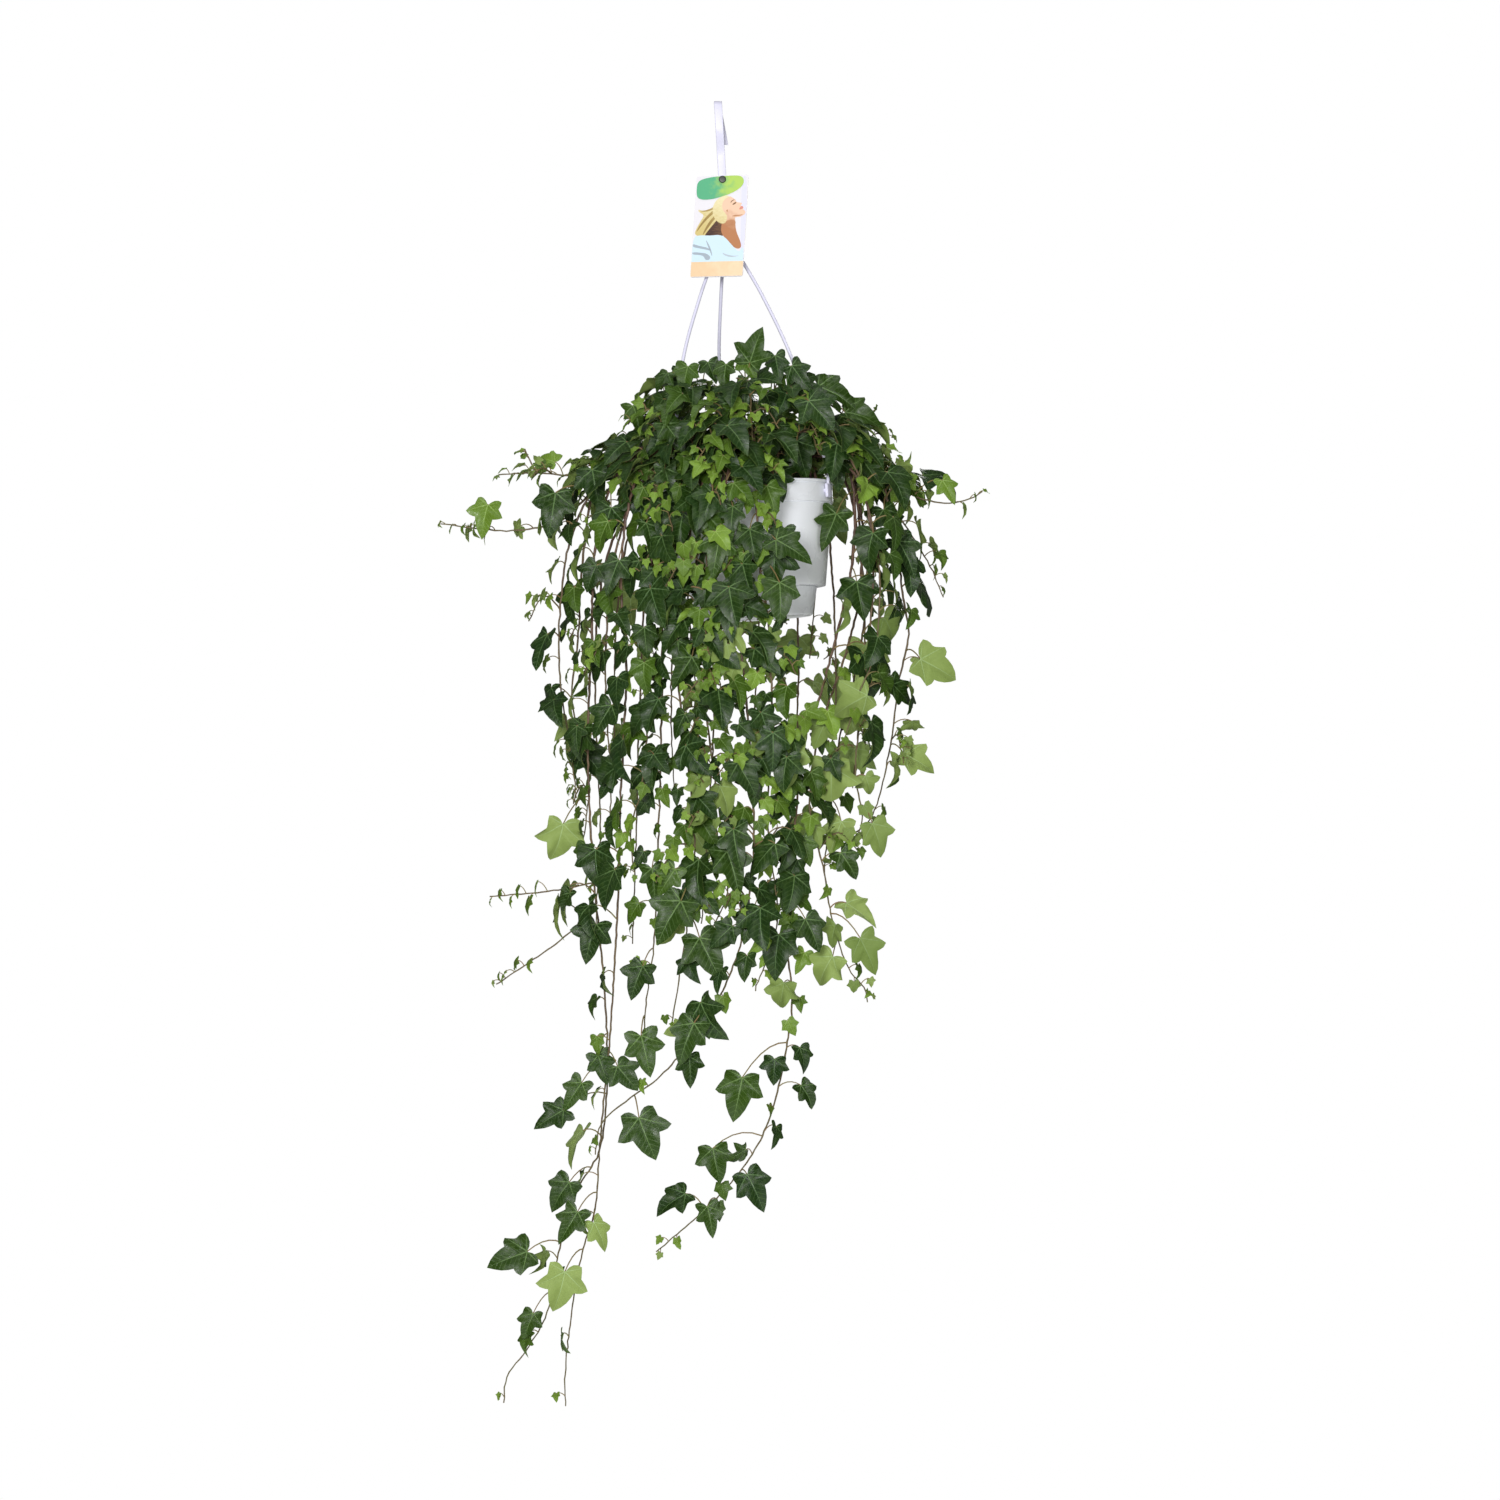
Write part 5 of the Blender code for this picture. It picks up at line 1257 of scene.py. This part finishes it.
def buildHanger():
    h = hanger
    hubBottom = hubTop - up * h["hubSize"][2]
    hub = roundedBox(h["hubSize"], Matrix.Translation((hubTop + hubBottom) / 2), 0.0012)
    mesh = meshFrom("hangerStrap", *joined([strapMesh(), hub]), angle=50)
    addPiece("hangerStrap", mesh, hangerPlastic, ["hanger_hook"])
    s = potSizes
    clipRadius = s["rimRadius"] + h["clipClearance"] + h["clipSize"][0] / 2
    headMiddle = (s["rimRadius"] - s["rimOverhang"] - s["wall"] - s["collarTaper"]
                  - 2 * h["gap"] - h["headSize"][0] / 2)
    for index, azimuth in enumerate(h["azimuths"]):
        side = (h["hubSize"][0] / 2 - 2 * h["strandRadius"]) * math.cos(math.radians(azimuth))
        start = hubBottom + Vector((side, 0, 0.001))
        clipEnd = polar(clipRadius, azimuth, -h["clipBelow"] + h["clipSize"][2] / 2 - h["strandRadius"])
        end = potPlace @ clipEnd
        bow = Vector((*h["bows"][index], 0))
        route = smoothRoute([
            start, start - up * h["strandRadius"] * 4, start.lerp(end, 0.25) + bow * 0.6,
            start.lerp(end, 0.5) + bow,
            start.lerp(end, 0.8) + bow * 0.6, potPlace @ (clipEnd + up * h["strandUpright"]), end], 0.004)
        radii = [h["strandRadius"] * (1 + 0.5 * max(0.0, 1 - i / 3)) for i in range(len(route))]
        parts = [tubeRings(route, radii, 14)]
        turn = Matrix.Rotation(math.radians(azimuth), 4, "Z")
        for size, radius, width in ((h["clipSize"], clipRadius, 0.0008), (h["headSize"], headMiddle, 0.0004),
                                    (h["pegSize"], (clipRadius + headMiddle) / 2, 0.0004)):
            place = potPlace @ Matrix.Translation(polar(radius, azimuth, -h["clipBelow"])) @ turn
            parts.append(roundedBox(size, place, width))
        name = f"hangerStrand{index + 1}"
        mesh = meshFrom(name, *joined(parts), angle=50)
        addPiece(name, mesh, hangerPlastic, [f"hanger_strand_{index + 1}"])


stud = {"front": 0.0012 + 0.0032 + 0.0004 + 0.0019, "back": 0.0012 + 0.0003, "head": 0.0041, "shank": 0.0025,
        "backHead": 0.0035, "thick": 0.0012}


def buildStud():
    front, back, head, shank, backHead, thick = stud.values()
    profile = rounded([
        (0, front + thick), (0.0034, front + 0.0011), (head, front + 0.0004), (head, front), (shank, front),
        (shank, -back), (backHead, -back), (backHead, -back - thick), (0, -back - thick)], 0.0003, 3)
    points, faces = lathe(profile, 40)
    mesh = meshFrom("tagStud", points, faces, angle=50)
    mesh.transform(Matrix.Translation(studPlace) @ Matrix.Rotation(math.pi / 2, 4, "X"))
    addPiece("tagStud", mesh, studPlastic, ["tag_stud"])


buildHanger()
buildStud()
print("hanger finished")

# ---- tag: the CAD card, with what is printed on it as thin layers ----
tagSettings = {"standoff": 0.0044, "pitch": 13.0, "roll": 0.5, "yaw": 12.0, "holeBelowTop": 4.8,
               "face": 0.41, "layer": 0.035,
               "headTilt": 40.0, "headPlace": (8.5, 41.0), "headSize": 35.0}
tagPlace = Matrix.Translation(studPlace - Vector((0, tagSettings["standoff"], 0))) @ (
    Matrix.Rotation(-math.radians(tagSettings["yaw"]), 4, "Z")
    @ Matrix.Rotation(math.radians(tagSettings["roll"]), 4, "Y")
    @ Matrix.Rotation(-math.radians(tagSettings["pitch"]), 4, "X"))
frame["nodes"]["tag"].data.materials.clear()
frame["nodes"]["tag"].data.materials.append(cardMaterial)


def softLoop(outline, count=5):
    """a closed loop with soft corners through or near the outline's points"""
    points = []
    size = len(outline)
    for i in range(size):
        a, b, c = outline[i - 1], outline[i], outline[(i + 1) % size]
        start = ((a[0] + b[0]) / 2, (a[1] + b[1]) / 2)
        end = ((b[0] + c[0]) / 2, (b[1] + c[1]) / 2)
        points += bend(start, b, end, count)
    return points


def inkPiece(name, outline, layer, material, soft=True):
    """one printed area: the outline is in millimetres right of the card's middle and below its top"""
    loop = softLoop(outline) if soft else outline
    t = tagSettings
    points = []
    for depth in (t["face"] + t["layer"] * layer, t["face"] + t["layer"] * (layer - 0.9)):
        points += [tagPlace @ (Vector((u, -depth, t["holeBelowTop"] - v)) * mm) for u, v in loop]
    n = len(loop)
    faces = [tuple(range(n)), tuple(reversed(range(n, 2 * n)))]
    faces += [((i + 1) % n, i, n + i, n + (i + 1) % n) for i in range(n)]
    mesh = meshFrom(name, points, faces, smooth=False)
    build = bmesh.new()
    build.from_mesh(mesh)
    bmesh.ops.triangulate(build, faces=build.faces)
    bmesh.ops.recalc_face_normals(build, faces=build.faces)
    build.to_mesh(mesh)
    build.free()
    return addPiece(name, mesh, material)


def headPoints(points):
    """points of a head that is one unit tall and looks right, set and tilted on the card"""
    t = tagSettings
    sine, cosine = math.sin(math.radians(t["headTilt"])), math.cos(math.radians(t["headTilt"]))
    found = []
    for x, y in points:
        y -= 0.5
        found.append((t["headPlace"][0] + t["headSize"] * (x * cosine - y * sine),
                      t["headPlace"][1] - t["headSize"] * (x * sine + y * cosine)))
    return found


def makeInk(name, first, second, direction=(1, 0, 0), stretch=(1, 1, 1), spread=0.020, scale=160.0):
    """printed colour that runs from first to second along a direction, in soft clouds or streaks"""
    material, tree, shader = newMaterial(name, Roughness=0.38)
    place = objectPlace(tree)
    mapping = tree.nodes.new("ShaderNodeMapping")
    mapping.inputs["Scale"].default_value = stretch
    link(tree, place, mapping.inputs["Vector"])
    cloud = noiseNode(tree, scale, 4.0, mapping.outputs[0])
    dot = tree.nodes.new("ShaderNodeVectorMath")
    dot.operation = "DOT_PRODUCT"
    link(tree, place, dot.inputs[0])
    dot.inputs[1].default_value = direction
    middle = direction[0] * studPlace.x + direction[2] * (studPlace.z - 0.045)
    along = mathNode(tree, "SUBTRACT", dot.outputs["Value"], middle)
    share = mathNode(tree, "ADD", mathNode(tree, "DIVIDE", along, 2 * spread), cloud)
    link(tree, mixColour(tree, rangeNode(tree, share, 0.15, 0.85), first, second),
         shader.inputs["Base Color"])
    bumpInto(tree, shader, cloud, 0.04, 0.0001)
    return material


def buildTagPrint():
    green = makeInk("printGreen", (0.10, 0.42, 0.22), (0.42, 0.62, 0.12))
    lilac = makeInk("printLilac", (0.62, 0.70, 0.90), (0.70, 0.70, 0.88))
    blond = makeInk("printHair", (0.62, 0.50, 0.20), (0.80, 0.72, 0.45), (0.5, 0, 0.8), (1, 1, 7), 0.03,
                    300.0)
    lock = makeInk("printLock", (0.30, 0.20, 0.06), (0.48, 0.35, 0.12), (0.5, 0, 0.8), (1, 1, 7), 0.03, 300.0)
    shade = makeInk("printHairShade", (0.06, 0.03, 0.025), (0.22, 0.11, 0.05), (1, 0, 0), (1, 1, 6), 0.03,
                    260.0)
    skin = makeInk("printSkin", (0.46, 0.20, 0.09), (0.82, 0.56, 0.40), (0.4, 0, 0.9), (1, 1, 1), 0.016, 90.0)
    skinDark = makeInk("printSkinShade", (0.36, 0.14, 0.06), (0.50, 0.24, 0.12))
    blush = makeInk("printLips", (0.60, 0.18, 0.15), (0.66, 0.26, 0.20))
    cloth = makeInk("printShirt", (0.60, 0.76, 0.86), (0.82, 0.90, 0.94), (0, 0, 1), (1, 1, 1), 0.03, 60.0)
    fold = makeInk("printFold", (0.36, 0.42, 0.48), (0.50, 0.56, 0.62))
    beige = makeInk("printBand", (0.80, 0.58, 0.36), (0.86, 0.66, 0.44), spread=0.05)
    inkPiece("printSide", [(22.0, 0.6), (29.4, 0.6), (29.4, 100), (26, 100), (24.5, 62)], 1, lilac)
    inkPiece("printHairBack", [(4, 27), (-4, 33), (-11, 40), (-20, 42), (-26, 40), (-25, 43), (-18, 47),
                               (-22, 54), (-26, 62),
                               (-29, 71), (-14, 74), (-4, 64), (4, 54), (10, 44), (12, 34)], 2, blond)
    for index, outline in enumerate((
            [(3, 33), (-8, 41), (-17, 50), (-24, 61), (-27, 69), (-19, 57), (-9, 46), (3, 37)],
            [(4, 38), (-5, 46), (-13, 56), (-18, 67), (-19, 72), (-14, 64), (-7, 53), (3, 43)],
            [(1, 31), (-8, 38), (-18, 42), (-26, 41.5), (-17, 43.5), (-8, 40.5), (1, 34)],
            [(7, 42), (0, 50), (-5, 60), (-9, 71), (-7, 71), (-1, 60), (4, 51)])):
        inkPiece(f"printLock{index + 1}", outline, 2.5, lock)
    inkPiece("printHairShade", [(0, 48), (-6, 57), (-13, 66), (-18, 74), (0, 76), (9, 68), (10, 54)], 3,
             shade)
    inkPiece("printNeck", [(4, 50), (2, 60), (2, 68), (8, 77), (17, 86), (23, 89), (27, 86), (24, 77),
                           (20, 69), (18, 60), (17, 46)],
             4, skin)
    inkPiece("printNeckShade", [(4, 56), (8, 62), (14, 64), (18.5, 60), (18, 54), (12, 53)], 5, skinDark)
    face = headPoints([(-0.16, 0.36), (-0.16, 0.62), (0.0, 0.86), (0.20, 0.90), (0.33, 0.80), (0.37, 0.68),
                       (0.385, 0.60),
                       (0.36, 0.53), (0.40, 0.46), (0.475, 0.375), (0.46, 0.345), (0.395, 0.335),
                       (0.41, 0.30),
                       (0.42, 0.275), (0.39, 0.25), (0.41, 0.225), (0.395, 0.19), (0.37, 0.165),
                       (0.39, 0.12), (0.385, 0.05),
                       (0.31, 0.0), (0.18, 0.02), (0.02, 0.12), (-0.08, 0.22)])
    inkPiece("printFace", face, 6, skin, soft=False)
    inkPiece("printCheek", headPoints([(-0.06, 0.24), (0.04, 0.14), (0.18, 0.05), (0.30, 0.03), (0.16, 0.10),
                                       (0.06, 0.20)]), 7, skinDark)
    inkPiece("printBrow", headPoints([(0.17, 0.60), (0.26, 0.67), (0.37, 0.635), (0.37, 0.615),
                                      (0.27, 0.635)]), 7, shade)
    inkPiece("printEye", headPoints([(0.19, 0.53), (0.26, 0.55), (0.36, 0.53), (0.36, 0.50), (0.27, 0.485)]),
             7, shade)
    inkPiece("printLips", headPoints([(0.26, 0.25), (0.34, 0.295), (0.425, 0.295), (0.425, 0.255),
                                      (0.42, 0.20), (0.34, 0.205)]), 7, blush)
    inkPiece("printEar", headPoints([(-0.10, 0.40), (-0.11, 0.52), (-0.03, 0.56), (0.02, 0.50), (0.0, 0.41),
                                     (-0.05, 0.36)]), 7, skin)
    inkPiece("printEarShade", headPoints([(-0.07, 0.42), (-0.075, 0.50), (-0.02, 0.52), (-0.01, 0.48),
        (-0.04, 0.46)]), 8, skinDark)
    inkPiece("printHairTop", headPoints([(0.33, 0.82), (0.22, 0.95), (0.02, 1.02), (-0.22, 0.97),
        (-0.42, 0.80), (-0.52, 0.56), (-0.50, 0.30),
                                         (-0.36, 0.16), (-0.20, 0.26), (-0.13, 0.40), (-0.15, 0.58),
                                         (-0.05, 0.76), (0.12, 0.86)]), 9, blond)
    inkPiece("printShirt", [(-29.6, 73), (-22, 71), (-10, 72), (0, 71), (7, 74), (14, 82), (21, 90),
                            (25, 92), (28, 86), (29.4, 90),
                            (29.4, 103), (29.4, 103), (-29.6, 103), (-29.6, 103)], 10, cloth)
    for index, outline in enumerate((
            [(-29.4, 81), (-22, 84), (-12, 86), (-8, 90), (-14, 88.5), (-23, 86.5), (-29.4, 85)],
            [(-29.4, 91), (-20, 92), (-13, 93), (-8, 97), (-9, 101), (-14, 101), (-16, 96), (-22, 94.5),
             (-29.4, 94)],
            [(-15, 76), (-11, 82), (-7, 91), (-6, 98), (-9, 91), (-13, 82)],
            [(4, 92), (10, 95), (18, 97), (26, 96), (18, 98.5), (9, 97)])):
        inkPiece(f"printFold{index + 1}", outline, 11, fold)
    inkPiece("printBand", [(-29.7, 103), (29.6, 103), (29.6, 120.4), (-29.7, 120.4)], 12, beige, soft=False)
    inkPiece("printBlob", [(-28.4, 8), (-24, 4), (-10, 1.2), (8, 0.5), (21, 0.6), (25.5, 6), (24, 13),
                           (17, 19), (6, 24), (-8, 28),
                           (-21, 29), (-28, 26), (-29, 16)], 13, green)


buildTagPrint()
print("tag printed")

# ---- stage, light and camera ----
stageSettings = {"floorHeight": -2.0, "floorGlow": 0.60, "ambient": 0.12}


def buildStage():
    bpy.ops.mesh.primitive_circle_add(vertices=96, radius=1.6, fill_type="NGON",
                                      location=(0.03, 0, stageSettings["floorHeight"]))
    floor = bpy.context.object
    floor.name = "studioFloor"
    material, tree, shader = newMaterial("floorPaint", Roughness=0.7)
    shader.inputs["Base Color"].default_value = (0.86, 0.86, 0.86, 1)
    shader.inputs["Emission Color"].default_value = (1, 1, 1, 1)
    shader.inputs["Emission Strength"].default_value = stageSettings["floorGlow"]
    floor.data.materials.append(material)
    world = bpy.data.worlds.new("studio")
    bpy.context.scene.world = world
    world.use_nodes = True
    tree = world.node_tree
    background = tree.nodes["Background"]
    background.inputs["Color"].default_value = (1, 1, 1, 1)
    path = tree.nodes.new("ShaderNodeLightPath")
    strength = rangeNode(tree, path.outputs["Is Camera Ray"], 0.0, 1.0, stageSettings["ambient"], 1.0)
    link(tree, strength, background.inputs["Strength"])


def addLight(name, place, target, size, power):
    data = bpy.data.lights.new(name, "AREA")
    data.shape = "DISK"
    data.size = size
    data.energy = power
    light = bpy.data.objects.new(name, data)
    bpy.context.scene.collection.objects.link(light)
    light.location = place
    light.rotation_euler = (Vector(target) - Vector(place)).to_track_quat("-Z", "Y").to_euler()


def addCamera():
    distance = 3.4
    frameHeight = 1.6875
    data = bpy.data.cameras.new("studioCamera")
    data.sensor_width = 36
    data.lens = 36 * distance / frameHeight
    camera = bpy.data.objects.new("studioCamera", data)
    bpy.context.scene.collection.objects.link(camera)
    camera.location = (0.036, -distance, -0.7273)
    camera.rotation_euler = (math.pi / 2, 0, 0)
    bpy.context.scene.camera = camera


buildStage()
addLight("keyLight", (-0.50, -3.4, -0.15), (0.02, 0, -0.65), 0.9, 88)
addLight("fillLight", (0.9, -3.2, -0.75), (0.02, 0, -0.65), 1.1, 30)
addLight("topLight", (-0.3, -0.9, 2.2), (0.02, 0, -0.5), 1.6, 24)
addLight("backLight", (0.6, 3.2, 0.6), (0.02, 0, -0.6), 1.8, 38)
addCamera()
bpy.context.scene.view_settings.view_transform = "Standard"
print("stage, light and camera made")
